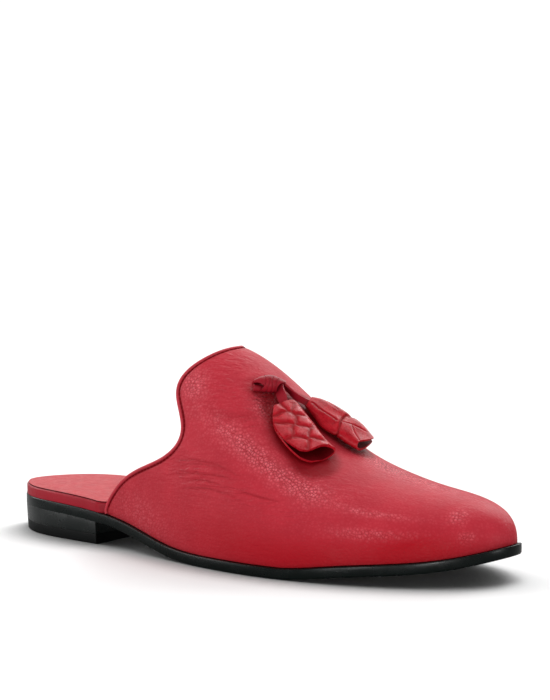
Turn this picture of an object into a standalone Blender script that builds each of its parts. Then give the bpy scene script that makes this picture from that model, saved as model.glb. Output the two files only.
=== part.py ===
"""Right tassel loafer with an open back, modelled in metres with +Z up.

The toe points along +X and the inner side of the foot, where the big toe lies, is at +Y.
The shoe stands on its heel and forefoot at z = 0, and the middle of its plan is the origin.
Outlines and heights are natural splines through the short tables below, whose rows are
shares of the driving sizes. A place along the shoe is its run: 0 at the back of the heel,
1 at the tip of the toe, spaced so that both ends of the outline come out round.
"""

from collections import namedtuple
from math import pi

import bmesh
import bpy
import numpy as np
from mathutils import Matrix, Vector

SHOE = "loafer"
ORIGIN = "loafer_origin"
MM = 0.001
SMALL_STEP = 5e-4  # of a run or a way around, for slopes

# Driving sizes
LENGTH = 270 * MM
BALL_WIDTH = 86 * MM
HEEL_HEIGHT = 12 * MM
TOE_SPRING = 12 * MM
INSTEP_RISE = 83 * MM
UPPER_WALL = 2.2 * MM
GAP = 0.3 * MM

# Sole and heel
SOLE_THICKNESS = 4.6 * MM
SOLE_EDGE_ROUND = 0.9 * MM
SOLE_ROWS = 40
PLATE_COLUMNS = 4
HEEL_LENGTH = 67.7 * MM
HEEL_TAPER = 0.7 * MM
TOP_PIECE_TAPER = 0.4 * MM
HEEL_EDGE_ROUND = 0.3 * MM
HEEL_ROWS = 12
TOP_PIECE_THICKNESS = 4.8 * MM

# Insole board, wrapped in leather and flush with the sole where the foot slides in
INSOLE_THICKNESS = 5.3 * MM
INSOLE_FRONT_THICKNESS = 2.6 * MM
INSOLE_EDGE_ROUND = 1.1 * MM
INSOLE_TUCK_START = 66.5 * MM
INSOLE_TUCK_END = 71.0 * MM
INSOLE_TUCK_ROWS = 4
INSOLE_TUCK_GAP = 0.45 * MM
INSOLE_ROWS = 36

# Upper
SOLE_PROUD = 1.8 * MM
UPPER_ROWS = 26
UPPER_COLUMNS = 38
WALL_SETBACK = 3 * MM
BINDING_RADIUS = 1.2 * MM
BINDING_POINTS = 72
BINDING_SIDES = 6

# Tassels: a knotted roll of strap across the vamp, two flat thongs out of it, standing on
# edge, and a leaf of folded leather on each thong
LEATHER = 1.3 * MM
KNOT_LENGTH = 14 * MM
KNOT_FLATNESS = 0.85
KNOT_SIDES = 18
KNOT_ROWS = 8
THONG_WIDTH = 3.4 * MM
LEAF_ROWS = 12
FOLD_STEPS = 6
LAYER_STEPS = 5

# Places on the upper that the tassels sit over, as shares of LENGTH and of the way
# around from the ridge towards the sole, and how far above the upper they are there.
Seat = namedtuple("Seat", "along around lift")
KNOT_SEATS = (Seat(0.551, -0.240, 0), Seat(0.576, -0.118, 0))
OUTER_LEAF_SEATS = (Seat(0.597, -0.186, 0.0020), Seat(0.683, -0.308, 0.0040))
INNER_LEAF_SEATS = (Seat(0.607, -0.025, 0.0021), Seat(0.707, 0.020, 0.0040))

# Outer radius of the knot from its open outer end to the rim that the thongs leave by.
Barrel = namedtuple("Barrel", "across radius")
BARREL = (
    Barrel(0.00, 0.0027),
    Barrel(0.18, 0.0032),
    Barrel(0.45, 0.0038),
    Barrel(0.75, 0.0037),
    Barrel(0.92, 0.0034),
    Barrel(1.00, 0.0037),
)

# Where the thongs leave the knot: across from its middle as a share of KNOT_LENGTH, and
# towards the toe as a share of its greatest radius.
Thong = namedtuple("Thong", "side across forward")
THONGS = (Thong("outer", 0.36, 1.14), Thong("inner", 0.59, 0.30))

# Leaves, from the head down: half width, spacing of the two layers at the fold, and at
# their free edges.
Leaf = namedtuple("Leaf", "down half fold lip")
OUTER_LEAF = (
    Leaf(0.00, 0.0050, 0.0020, 0.0019),
    Leaf(0.25, 0.0083, 0.0026, 0.0019),
    Leaf(0.60, 0.0110, 0.0034, 0.0022),
    Leaf(1.00, 0.0108, 0.0044, 0.0042),
)
INNER_LEAF = (
    Leaf(0.00, 0.0036, 0.0024, 0.0020),
    Leaf(0.25, 0.0066, 0.0040, 0.0026),
    Leaf(0.60, 0.0070, 0.0052, 0.0034),
    Leaf(1.00, 0.0052, 0.0046, 0.0034),
)

# How far down each layer reaches, as a share of the leaf: from the upper layer's free
# edge, where turn is 0, round the fold to the lower layer's free edge, where turn is 1.
Reach = namedtuple("Reach", "turn down")
OUTER_REACH = (
    Reach(0.00, 0.66),
    Reach(0.15, 0.90),
    Reach(0.32, 1.03),
    Reach(0.50, 1.02),
    Reach(0.65, 1.07),
    Reach(0.82, 1.08),
    Reach(1.00, 0.80),
)
INNER_REACH = (
    Reach(0.00, 0.98),
    Reach(0.50, 1.00),
    Reach(1.00, 0.96),
)

# Sole outline seen from above: half its width and the sideways swing of its middle from
# the straight line through heel and toe, towards the inner side, as shares of BALL_WIDTH.
Outline = namedtuple("Outline", "along half swing")
OUTLINE = (
    Outline(0.000, 0.000, -0.020),
    Outline(0.022, 0.155, -0.003),
    Outline(0.081, 0.291, -0.009),
    Outline(0.185, 0.342, -0.027),
    Outline(0.296, 0.343, -0.067),
    Outline(0.407, 0.371, -0.120),
    Outline(0.519, 0.445, -0.122),
    Outline(0.630, 0.502, -0.100),
    Outline(0.722, 0.501, -0.074),
    Outline(0.815, 0.450, -0.047),
    Outline(0.896, 0.359, -0.023),
    Outline(0.956, 0.233, -0.005),
    Outline(1.000, 0.000, 0.011),
)

# Height of the sole's underside: share of HEEL_HEIGHT behind the flat forefoot and share
# of TOE_SPRING ahead of it.
Profile = namedtuple("Profile", "along heel spring")
PROFILE = (
    Profile(0.000, 0.98, 0.00),
    Profile(0.111, 1.02, 0.00),
    Profile(0.222, 0.93, 0.00),
    Profile(0.333, 0.61, 0.00),
    Profile(0.444, 0.11, 0.00),
    Profile(0.556, 0.00, 0.00),
    Profile(0.611, 0.00, 0.00),
    Profile(0.685, 0.00, 0.00),
    Profile(0.778, 0.00, 0.23),
    Profile(0.870, 0.00, 0.42),
    Profile(0.944, 0.00, 0.65),
    Profile(1.000, 0.00, 0.97),
)

# Sections of the upper: rise of the ridge above the sole as a share of INSTEP_RISE, lean
# of the ridge to the inner side as a share of BALL_WIDTH, and fullness of the section,
# from 2 for an ellipse to more for squarer shoulders.
Section = namedtuple("Section", "along rise lean fullness")
SECTIONS = (
    Section(0.352, 1.101, 0.003, 2.16),
    Section(0.407, 1.067, 0.005, 2.14),
    Section(0.481, 1.030, 0.012, 2.10),
    Section(0.556, 0.897, 0.018, 2.08),
    Section(0.648, 0.653, 0.026, 2.09),
    Section(0.741, 0.464, 0.024, 2.15),
    Section(0.833, 0.349, 0.020, 2.25),
    Section(0.907, 0.287, 0.017, 2.40),
    Section(0.963, 0.204, 0.015, 2.45),
    Section(1.000, 0.000, 0.011, 2.45),
)

# Topline: how far ahead of the heel the upper starts, from the sole, where up is 0, to
# the ridge, where up is 1. Both sides are alike.
Topline = namedtuple("Topline", "up along")
TOPLINE = (
    Topline(0.00, 0.268),
    Topline(0.12, 0.318),
    Topline(0.25, 0.405),
    Topline(0.38, 0.445),
    Topline(0.50, 0.417),
    Topline(0.62, 0.417),
    Topline(0.75, 0.438),
    Topline(0.88, 0.456),
    Topline(1.00, 0.463),
)


def natural_spline(knots, values):
    """Return the natural cubic spline through the knots as a function."""
    knots = np.array(knots, dtype=float)
    values = np.array(values, dtype=float)
    gaps = np.diff(knots)
    slopes = np.diff(values) / gaps
    last = len(knots) - 1
    system = np.eye(last + 1)
    bends = np.zeros(last + 1)
    for i in range(1, last):
        system[i, i - 1 : i + 2] = gaps[i - 1], 2 * (gaps[i - 1] + gaps[i]), gaps[i]
        bends[i] = 6 * (slopes[i] - slopes[i - 1])
    bends = np.linalg.solve(system, bends)

    def value(at):
        i = np.clip(np.searchsorted(knots, at) - 1, 0, last - 1)
        before = at - knots[i]
        after = knots[i + 1] - at
        cubic = (bends[i] * after**3 + bends[i + 1] * before**3) / (6 * gaps[i])
        start = values[i] / gaps[i] - bends[i] * gaps[i] / 6
        end = values[i + 1] / gaps[i] - bends[i + 1] * gaps[i] / 6
        return cubic + start * after + end * before

    return value


def run_at(along):
    """Run of a place that is this share of the length ahead of the heel."""
    return np.arccos(1 - 2 * np.clip(along, 0, 1)) / pi


def ahead(run):
    """Distance of a run ahead of the back of the heel."""
    return LENGTH * (1 - np.cos(pi * run)) / 2


def column(table, name):
    """One named column of a table."""
    return [getattr(row, name) for row in table]


def spline_of(table, name):
    """Spline of one column of a table over the run."""
    return natural_spline(run_at(column(table, "along")), column(table, name))


half_width = spline_of(OUTLINE, "half")
swing = spline_of(OUTLINE, "swing")
rise = spline_of(SECTIONS, "rise")
lean = spline_of(SECTIONS, "lean")
fullness = spline_of(SECTIONS, "fullness")
underside = natural_spline(
    [row.along * LENGTH for row in PROFILE],
    [row.heel * HEEL_HEIGHT + row.spring * TOE_SPRING for row in PROFILE],
)
topline_run = natural_spline(
    [row.up - 1 for row in TOPLINE] + [1 - row.up for row in reversed(TOPLINE[:-1])],
    [run_at(row.along) for row in TOPLINE] + [run_at(row.along) for row in reversed(TOPLINE[:-1])],
)


def sole_bottom(x):
    """Height of the outsole's underside."""
    return max(0.0, float(underside(x)))


def sole_top(x):
    """Height of the outsole's upper face."""
    return sole_bottom(x) + SOLE_THICKNESS


def outline(run, side):
    """Plan point of the sole's edge, on the outer side (-1) or the inner side (1)."""
    return np.array([ahead(run), BALL_WIDTH * (swing(run) + side * half_width(run))])


def edge(run, side, inset=0.0):
    """Plan point of the sole's edge, moved squarely inwards by inset."""
    step = SMALL_STEP
    tangent = outline(run + step, side) - outline(run - step, side)
    tangent /= np.linalg.norm(tangent)
    return outline(run, side) + inset * side * np.array([tangent[1], -tangent[0]])


def across(run, share, inset):
    """Plan point between the outer edge, at share 0, and the inner edge, at share 1."""
    return (1 - share) * edge(run, -1, inset) + share * edge(run, 1, inset)


def upper_point(run, around):
    """Point on the upper's outer face.

    Around goes from -1 at the sole on the outer side, over the ridge at 0, to 1 at the
    sole on the inner side.
    """
    feet = [edge(run, side, SOLE_PROUD) for side in (-1, 1)]
    ridge = np.array([(feet[0][0] + feet[1][0]) / 2, BALL_WIDTH * lean(run)])
    foot = feet[0] if around < 0 else feet[1]
    angle = abs(around) * pi / 2
    power = 2 / fullness(run)
    x, y = ridge + (foot - ridge) * np.sin(angle) ** power
    z = sole_top(x) + GAP + INSTEP_RISE * rise(run) * max(0.0, np.cos(angle)) ** power
    return np.array([x, y, z])


def upper_normal(run, around):
    """Unit vector pointing out of the upper's outer face."""
    step = SMALL_STEP
    run = min(run, 1 - 2 * step)
    around = np.clip(around, step - 1, 1 - step)
    along = upper_point(run + step, around) - upper_point(run - step, around)
    up = upper_point(run, around + step) - upper_point(run, around - step)
    normal = np.cross(along, up)
    return normal / np.linalg.norm(normal)


def inside_topline(around, distance):
    """Run of the place that lies this far inside the topline, measured squarely to it."""
    step = SMALL_STEP
    run = float(topline_run(around))
    middle = np.clip(around, step - 1, 1 - step)
    line = [upper_point(float(topline_run(a)), a) for a in (middle - step, middle + step)]
    tangent = line[1] - line[0]
    forward = upper_point(run + step, around) - upper_point(run, around)
    square = np.linalg.norm(np.cross(tangent, forward)) / np.linalg.norm(tangent)
    return run + distance / square * step


def binding_point(around):
    """Middle of the binding, which rolls over the upper's cut edge on the topline."""
    run = inside_topline(around, BINDING_RADIUS)
    point = upper_point(run, around) - upper_normal(run, around) * UPPER_WALL / 2
    floor = sole_top(point[0]) + GAP + BINDING_RADIUS
    return np.array([point[0], point[1], max(point[2], floor)])


def seat(along, around, lift=0.0):
    """Point this far above the upper's outer face, and the outward direction there."""
    run = float(run_at(along))
    normal = upper_normal(run, around)
    return upper_point(run, around) + normal * lift, normal


def mesh_object(name, mesh, material):
    """Turn a bmesh into a smooth object of the shoe."""
    bmesh.ops.remove_doubles(mesh, verts=mesh.verts, dist=1e-6)
    data = bpy.data.meshes.new(name)
    mesh.to_mesh(data)
    mesh.free()
    data.materials.append(material)
    data.shade_smooth()
    data.set_sharp_from_angle(angle=pi / 5)
    return place(bpy.data.objects.new(name, data))


def place(part):
    """Put an object in the shoe's collection, in the last's own coordinates."""
    bpy.data.collections[SHOE].objects.link(part)
    part.parent = bpy.data.objects[ORIGIN]
    return part


def surface(mesh, grid):
    """Add the faces of a grid of points and return its vertices, row by row."""
    verts = [[mesh.verts.new(point) for point in row] for row in grid]
    for low, high in zip(verts, verts[1:]):
        for k in range(len(low) - 1):
            mesh.faces.new((low[k], high[k], high[k + 1], low[k + 1]))
    return verts


def plate(name, runs, lower, upper, material, edge_round):
    """Closed plate between two faces, each a function of run and share across."""
    shares = np.linspace(0, 1, PLATE_COLUMNS + 1)
    mesh = bmesh.new()
    above = surface(mesh, [[upper(run, share) for share in shares] for run in runs])
    below = surface(mesh, [[lower(run, share) for share in reversed(shares)] for run in runs])
    below = [row[::-1] for row in below]
    rims = [
        ([row[0] for row in below], [row[0] for row in above]),
        ([row[-1] for row in above], [row[-1] for row in below]),
        (above[0], below[0]),
        (below[-1], above[-1]),
    ]
    for first, second in rims:
        for k in range(len(first) - 1):
            mesh.faces.new((first[k], first[k + 1], second[k + 1], second[k]))
    part = mesh_object(name, mesh, material)
    bevel = part.modifiers.new("rounded edge", "BEVEL")
    bevel.width = edge_round
    bevel.segments = 2
    bevel.limit_method = "ANGLE"
    bevel.angle_limit = pi / 4
    return part


def shell(name, grid, thickness, material):
    """Closed wall of even thickness, grown inwards from a grid of outer points."""
    mesh = bmesh.new()
    surface(mesh, grid)
    part = mesh_object(name, mesh, material)
    wall = part.modifiers.new("wall", "SOLIDIFY")
    wall.thickness = thickness
    wall.offset = -1
    return part


def tube(name, points, radius, sides, material):
    """Round cord along points, with flat ends."""
    curve = bpy.data.curves.new(name, "CURVE")
    curve.dimensions = "3D"
    curve.bevel_depth = radius
    curve.bevel_resolution = sides // 2 - 2
    curve.use_fill_caps = True
    line = curve.splines.new("POLY")
    line.points.add(len(points) - 1)
    for knot, point in zip(line.points, points):
        knot.co = (*point, 1)
    curve.materials.append(material)
    return place(bpy.data.objects.new(name, curve))


def finish(name, colour, roughness):
    """Plain surface for one kind of material."""
    material = bpy.data.materials.new(name)
    material.use_nodes = True
    shader = material.node_tree.nodes["Principled BSDF"]
    shader.inputs["Base Color"].default_value = (*colour, 1)
    shader.inputs["Roughness"].default_value = roughness
    shader.inputs["Metallic"].default_value = 0.0
    return material


def make_outsole(material):
    """Thin sole that follows the heel, the arch and the toe spring."""

    def face(height):
        def point(run, share):
            x, y = across(run, share, 0)
            return x, y, height(x)

        return point

    runs = np.linspace(0, 1, SOLE_ROWS + 1)
    plate("outsole", runs, face(sole_bottom), face(sole_top), material, SOLE_EDGE_ROUND)


def make_heel(block_material, top_piece_material):
    """Heel block under the sole and the top piece that it stands on."""
    runs = np.linspace(0, run_at(HEEL_LENGTH / LENGTH), HEEL_ROWS + 1)

    def face(height, inset):
        def point(run, share):
            x, y = across(run, share, inset)
            x = HEEL_LENGTH if run == runs[-1] else min(x, HEEL_LENGTH)
            return x, y, height(x)

        return point

    block = (
        face(lambda x: TOP_PIECE_THICKNESS + GAP, TOP_PIECE_TAPER),
        face(lambda x: sole_bottom(x) - GAP, 0),
    )
    piece = (
        face(lambda x: 0.0, HEEL_TAPER),
        face(lambda x: TOP_PIECE_THICKNESS, TOP_PIECE_TAPER),
    )
    plate("heel_block", runs, *block, block_material, HEEL_EDGE_ROUND)
    plate("heel_top_piece", runs, *piece, top_piece_material, HEEL_EDGE_ROUND)


def make_insole(material):
    """Wrapped board: flush with the sole at the heel, tucked inside the upper ahead."""
    tucked = SOLE_PROUD + UPPER_WALL + INSOLE_TUCK_GAP

    def ease(x, start, end):
        share = np.clip((x - start) / (end - start), 0, 1)
        return share * share * (3 - 2 * share)

    def face(height):
        def point(run, share):
            inset = GAP + (tucked - GAP) * ease(ahead(run), INSOLE_TUCK_START, INSOLE_TUCK_END)
            x, y = across(run, share, inset)
            return x, y, sole_top(x) + height(x)

        return point

    def thickness(x):
        thinning = ease(x, INSOLE_TUCK_START, 2 * INSOLE_TUCK_END)
        return INSOLE_THICKNESS + (INSOLE_FRONT_THICKNESS - INSOLE_THICKNESS) * thinning

    tuck = np.linspace(INSOLE_TUCK_START, INSOLE_TUCK_END, INSOLE_TUCK_ROWS + 1)
    runs = np.union1d(np.linspace(0, 1, INSOLE_ROWS + 1), run_at(tuck / LENGTH))
    plate("insole", runs, face(lambda x: GAP), face(thickness), material, INSOLE_EDGE_ROUND)


def make_upper(material, binding_material):
    """Vamp and tongue in one hollow wall, and the bound edge along its topline."""
    columns = np.linspace(-1, 1, UPPER_COLUMNS + 1)
    starts = [inside_topline(around, WALL_SETBACK) for around in columns]
    grid = [
        [upper_point(start + (1 - start) * row, around) for start, around in zip(starts, columns)]
        for row in np.linspace(0, 1, UPPER_ROWS + 1)
    ]
    shell("upper", grid, UPPER_WALL, material)
    path = [binding_point(around) for around in np.linspace(-1, 1, BINDING_POINTS)]
    tube("topline_binding", path, BINDING_RADIUS, BINDING_SIDES, binding_material)


def local_frame(start, down, normal):
    """Placement whose X runs down a piece, Z stands off the upper and Y completes them."""
    x = down / np.linalg.norm(down)
    z = normal - x * np.dot(normal, x)
    z /= np.linalg.norm(z)
    frame = Matrix(np.transpose([x, np.cross(z, x), z])).to_4x4()
    frame.translation = start
    return frame


def make_knot(material):
    """Roll of strap on the vamp, open at both ends; returns its placement."""
    outer_end, inner_end = [seat(*row)[0] for row in KNOT_SEATS]
    middle = [sum(values) / 2 for values in zip(*KNOT_SEATS)]
    radius = natural_spline(column(BARREL, "across"), column(BARREL, "radius"))
    lift = max(column(BARREL, "radius")) * KNOT_FLATNESS + GAP
    centre, normal = seat(middle[0], middle[1], lift)
    across = inner_end - outer_end
    across -= normal * np.dot(across, normal)

    def rim_point(share, turn):
        size = radius(share)
        along = (share - 0.5) * KNOT_LENGTH
        return along, size * np.cos(turn), KNOT_FLATNESS * size * np.sin(turn)

    turns = np.linspace(2 * pi, 0, KNOT_SIDES + 1)
    shares = np.linspace(0, 1, KNOT_ROWS + 1)
    grid = [[rim_point(share, turn) for turn in turns] for share in shares]
    knot = shell("tassel_knot", grid, LEATHER, material)
    knot.matrix_basis = local_frame(centre, across, normal)
    return knot.matrix_basis


def leaf_turn(turn, half, fold, lip):
    """Place across and off the middle of a folded leaf, from free edge to free edge."""
    flat = 2 * half - fold / 2
    arc = pi * fold / 2
    way = turn * (2 * flat + arc)
    bend = (way - flat) / (fold / 2)
    if way < flat or way > flat + arc:
        back = flat - way if way < flat else way - flat - arc
        spacing = fold + (lip - fold) * (back / flat) ** 2
        return half - fold / 2 - back, (spacing if way < flat else -spacing) / 2
    return half - fold / 2 + np.sin(bend) * fold / 2, np.cos(bend) * fold / 2


def make_leaf(name, seats, table, reach_table, fold_side, material):
    """Leather folded along one side into a leaf that is open below; returns its placement."""
    (head, first), (tail, second) = [seat(*row) for row in seats]
    length = np.linalg.norm(tail - head)
    width, fold, lip = [
        natural_spline(column(table, "down"), column(table, name)) for name in ("half", "fold", "lip")
    ]
    reach = natural_spline(column(reach_table, "turn"), column(reach_table, "down"))
    turns = np.linspace(0, 1, 2 * LAYER_STEPS + FOLD_STEPS + 1)
    grid = []
    for row in np.linspace(0, 1, LEAF_ROWS + 1):
        points = []
        for turn in turns:
            down = row * reach(turn)
            at = min(down, 1.0)
            across, off = leaf_turn(turn, width(at), fold(at), lip(at))
            points.append((down * length, fold_side * across, off))
        grid.append(points if fold_side < 0 else points[::-1])
    leaf = shell(name, grid, LEATHER, material)
    leaf.modifiers["wall"].offset = 0
    leaf.matrix_basis = local_frame(head, tail - head, (first + second) / 2)
    return leaf.matrix_basis


def make_thong(name, start, end, normal, material):
    """Flat strap between two points, standing on its edge."""
    reach = normal * THONG_WIDTH / 2
    thong = shell(name, [[start - reach, start + reach], [end - reach, end + reach]], LEATHER, material)
    thong.modifiers["wall"].offset = 0


def make_tassels(strap_material, leaf_material):
    """Knot, thongs and leaves on the vamp."""
    knot = make_knot(strap_material)
    leaves = {
        "outer": make_leaf(
            "outer_tassel_leaf", OUTER_LEAF_SEATS, OUTER_LEAF, OUTER_REACH, 1, leaf_material
        ),
        "inner": make_leaf(
            "inner_tassel_leaf", INNER_LEAF_SEATS, INNER_LEAF, INNER_REACH, -1, leaf_material
        ),
    }
    for thong in THONGS:
        leaf = leaves[thong.side]
        forward = -thong.forward * max(column(BARREL, "radius"))
        start = np.array(knot @ Vector((thong.across * KNOT_LENGTH, forward, 0)))
        end = np.array(leaf @ Vector((-GAP - LEATHER / 2, 0, 0)))
        normal = np.array(leaf.col[2][:3])
        make_thong(thong.side + "_tassel_thong", start, end, normal, strap_material)


def main():
    """Clear the scene and build the shoe around its origin."""
    for thing in list(bpy.data.objects):
        bpy.data.objects.remove(thing, do_unlink=True)
    shoe = bpy.data.collections.new(SHOE)
    bpy.context.scene.collection.children.link(shoe)
    origin = bpy.data.objects.new(ORIGIN, None)
    shoe.objects.link(origin)
    edges = [outline(run, side)[1] for run in np.linspace(0, 1, 200) for side in (-1, 1)]
    origin.location = (-LENGTH / 2, -(min(edges) + max(edges)) / 2, 0)

    red_leather = finish("grained red leather", (0.47, 0.035, 0.05), 0.45)
    binding_leather = finish("smooth red binding", (0.52, 0.05, 0.06), 0.4)
    strap_leather = finish("smooth red strap", (0.42, 0.02, 0.035), 0.45)
    leaf_leather = finish("scaled red leather", (0.5, 0.05, 0.06), 0.35)
    insole_leather = finish("red insole leather", (0.62, 0.12, 0.13), 0.4)
    black_sole = finish("black sole edge", (0.02, 0.024, 0.024), 0.35)
    black_rubber = finish("black top piece rubber", (0.015, 0.017, 0.017), 0.6)

    make_outsole(black_sole)
    make_heel(black_sole, black_rubber)
    make_insole(insole_leather)
    make_upper(red_leather, binding_leather)
    make_tassels(strap_leather, leaf_leather)


main()
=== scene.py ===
"""Right tassel loafer with an open back, dressed in red grained leather on a thin black sole.

The toe points along +X, the inner side of the foot lies at +Y and the floor is z = 0. Every
piece is worked out from the last: outlines and heights are natural splines through short
tables, whose rows are shares of the driving sizes. A place along the shoe is its run, 0 at
the back of the heel and 1 at the tip of the toe. A place around the upper goes from -1 at
the sole on the outer side, over the ridge at 0, to 1 at the sole on the inner side.
"""

import logging
from collections.abc import Callable, Sequence
from dataclasses import dataclass, field
from enum import Enum
from functools import cached_property
from math import cos, pi, radians, sin
from typing import NamedTuple

import bmesh
import bpy
import numpy as np
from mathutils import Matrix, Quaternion, Vector


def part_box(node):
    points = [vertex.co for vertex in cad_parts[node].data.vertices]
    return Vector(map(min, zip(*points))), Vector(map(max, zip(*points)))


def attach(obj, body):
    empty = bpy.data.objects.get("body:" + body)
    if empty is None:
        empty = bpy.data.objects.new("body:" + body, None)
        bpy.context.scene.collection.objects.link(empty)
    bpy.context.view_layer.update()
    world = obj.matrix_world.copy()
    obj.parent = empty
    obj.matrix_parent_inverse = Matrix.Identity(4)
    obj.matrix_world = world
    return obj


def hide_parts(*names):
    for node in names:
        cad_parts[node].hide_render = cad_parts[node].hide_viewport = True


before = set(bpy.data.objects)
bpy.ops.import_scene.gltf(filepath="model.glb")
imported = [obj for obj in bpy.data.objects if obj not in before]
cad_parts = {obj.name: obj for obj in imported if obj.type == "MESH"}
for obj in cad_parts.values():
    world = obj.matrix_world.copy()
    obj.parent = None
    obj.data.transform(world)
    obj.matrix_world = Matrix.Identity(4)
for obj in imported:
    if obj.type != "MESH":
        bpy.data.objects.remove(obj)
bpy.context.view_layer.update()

log = logging.getLogger("loafer")

Array = np.ndarray
Curve = Callable[[Array], Array]
Colour = tuple[float, float, float]
Value = bpy.types.NodeSocket | float | Colour

MM = 0.001
SMALL_STEP = 5e-4
TINY_STEP = 1e-4
WELD = 1e-6
TINY = 1e-12
ALMOST_ONE = 0.9999
EDGE_SAMPLES = 400
SHARP_ANGLE = 50
WHITE = (1.0, 1.0, 1.0)
MIX_FIRST, MIX_SECOND, MIX_RESULT = 6, 7, 2
BODY = "root"


class Slot(Enum):
    """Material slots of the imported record."""

    GRAINED = "grained_leather"
    SMOOTH = "smooth_leather"
    SCALED = "scaled_leather"
    INSOLE = "insole_leather"
    SOLE = "black_sole"
    RUBBER = "black_rubber"


class Side(Enum):
    """Sides of the foot, by their sign along Y."""

    OUTER = -1
    INNER = 1


# ---------------------------------------------------------------- form of the shoe


class Outline(NamedTuple):
    """Sole seen from above: half width and sideways swing, as shares of the ball width."""

    along: float
    half: float
    swing: float


class Profile(NamedTuple):
    """Sole's underside: shares of the heel height and of the toe spring."""

    along: float
    heel: float
    spring: float


class Section(NamedTuple):
    """Upper: rise and lean of the ridge, and how full its section is, from 2 for an ellipse."""

    along: float
    rise: float
    lean: float
    fullness: float


class Topline(NamedTuple):
    """Edge of the opening: how far ahead of the heel it lies, from the sole to the ridge."""

    up: float
    along: float


OUTLINE = (
    Outline(0.000, 0.000, -0.020),
    Outline(0.022, 0.155, -0.003),
    Outline(0.081, 0.291, -0.009),
    Outline(0.185, 0.342, -0.027),
    Outline(0.296, 0.343, -0.067),
    Outline(0.407, 0.371, -0.120),
    Outline(0.519, 0.445, -0.122),
    Outline(0.630, 0.502, -0.100),
    Outline(0.722, 0.501, -0.074),
    Outline(0.815, 0.450, -0.047),
    Outline(0.896, 0.359, -0.023),
    Outline(0.956, 0.233, -0.005),
    Outline(1.000, 0.000, 0.011),
)

PROFILE = (
    Profile(0.000, 0.98, 0.00),
    Profile(0.111, 1.02, 0.00),
    Profile(0.222, 0.93, 0.00),
    Profile(0.333, 0.61, 0.00),
    Profile(0.444, 0.11, 0.00),
    Profile(0.556, 0.00, 0.00),
    Profile(0.611, 0.00, 0.00),
    Profile(0.685, 0.00, 0.00),
    Profile(0.778, 0.00, 0.23),
    Profile(0.870, 0.00, 0.42),
    Profile(0.944, 0.00, 0.65),
    Profile(1.000, 0.00, 0.97),
)

SECTIONS = (
    Section(0.352, 1.101, 0.003, 2.16),
    Section(0.407, 1.067, 0.005, 2.14),
    Section(0.481, 1.030, 0.012, 2.10),
    Section(0.556, 0.897, 0.018, 2.08),
    Section(0.648, 0.653, 0.026, 2.09),
    Section(0.741, 0.464, 0.024, 2.15),
    Section(0.833, 0.349, 0.020, 2.25),
    Section(0.907, 0.287, 0.017, 2.40),
    Section(0.963, 0.204, 0.015, 2.45),
    Section(1.000, 0.000, 0.011, 2.45),
)

TOPLINE = (
    Topline(0.00, 0.261),
    Topline(0.12, 0.317),
    Topline(0.25, 0.405),
    Topline(0.38, 0.445),
    Topline(0.50, 0.417),
    Topline(0.62, 0.417),
    Topline(0.75, 0.438),
    Topline(0.88, 0.456),
    Topline(1.00, 0.463),
)


def natural_spline(knots: Sequence[float], values: Sequence[float]) -> Curve:
    """Natural cubic spline through the knots.

    Args:
        knots: Rising positions.
        values: One value for each knot.

    Returns:
        A function of positions, for numbers and arrays alike.
    """
    at = np.array(knots, dtype=float)
    value = np.array(values, dtype=float)
    gap = np.diff(at)
    slope = np.diff(value) / gap
    last = len(at) - 1
    system = np.eye(last + 1)
    bend = np.zeros(last + 1)
    for i in range(1, last):
        system[i, i - 1 : i + 2] = gap[i - 1], 2 * (gap[i - 1] + gap[i]), gap[i]
        bend[i] = 6 * (slope[i] - slope[i - 1])
    bend = np.linalg.solve(system, bend)

    def curve(place: Array) -> Array:
        """Value of the spline at each place.

        Args:
            place: Places among the knots.

        Returns:
            One value for each place.
        """
        i = np.clip(np.searchsorted(at, place) - 1, 0, last - 1)
        before = place - at[i]
        after = at[i + 1] - place
        cubic = (bend[i] * after**3 + bend[i + 1] * before**3) / (6 * gap[i])
        start = value[i] / gap[i] - bend[i] * gap[i] / 6
        end = value[i + 1] / gap[i] - bend[i + 1] * gap[i] / 6
        return cubic + start * after + end * before

    return curve


def ease(value: Array, start: float, end: float) -> Array:
    """Smooth step from 0 at start to 1 at end."""
    share = np.clip((value - start) / (end - start), 0, 1)
    return share * share * (3 - 2 * share)


def unit(vectors: Array) -> Array:
    """Vectors scaled to length 1."""
    return vectors / np.maximum(np.linalg.norm(vectors, axis=-1, keepdims=True), TINY)


def line_gap(points: Array, start: Array, end: Array) -> tuple[Array, Array]:
    """Distance of points to a straight line.

    Args:
        points: Points in the plane or in space.
        start: Start of the line.
        end: End of the line.

    Returns:
        The distances, and how far along the line the nearest places lie, from 0 to 1.
    """
    line = end - start
    share = np.clip(((points - start) @ line) / (line @ line), 0, 1)
    return np.linalg.norm(points - start - share[..., None] * line, axis=-1), share


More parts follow.
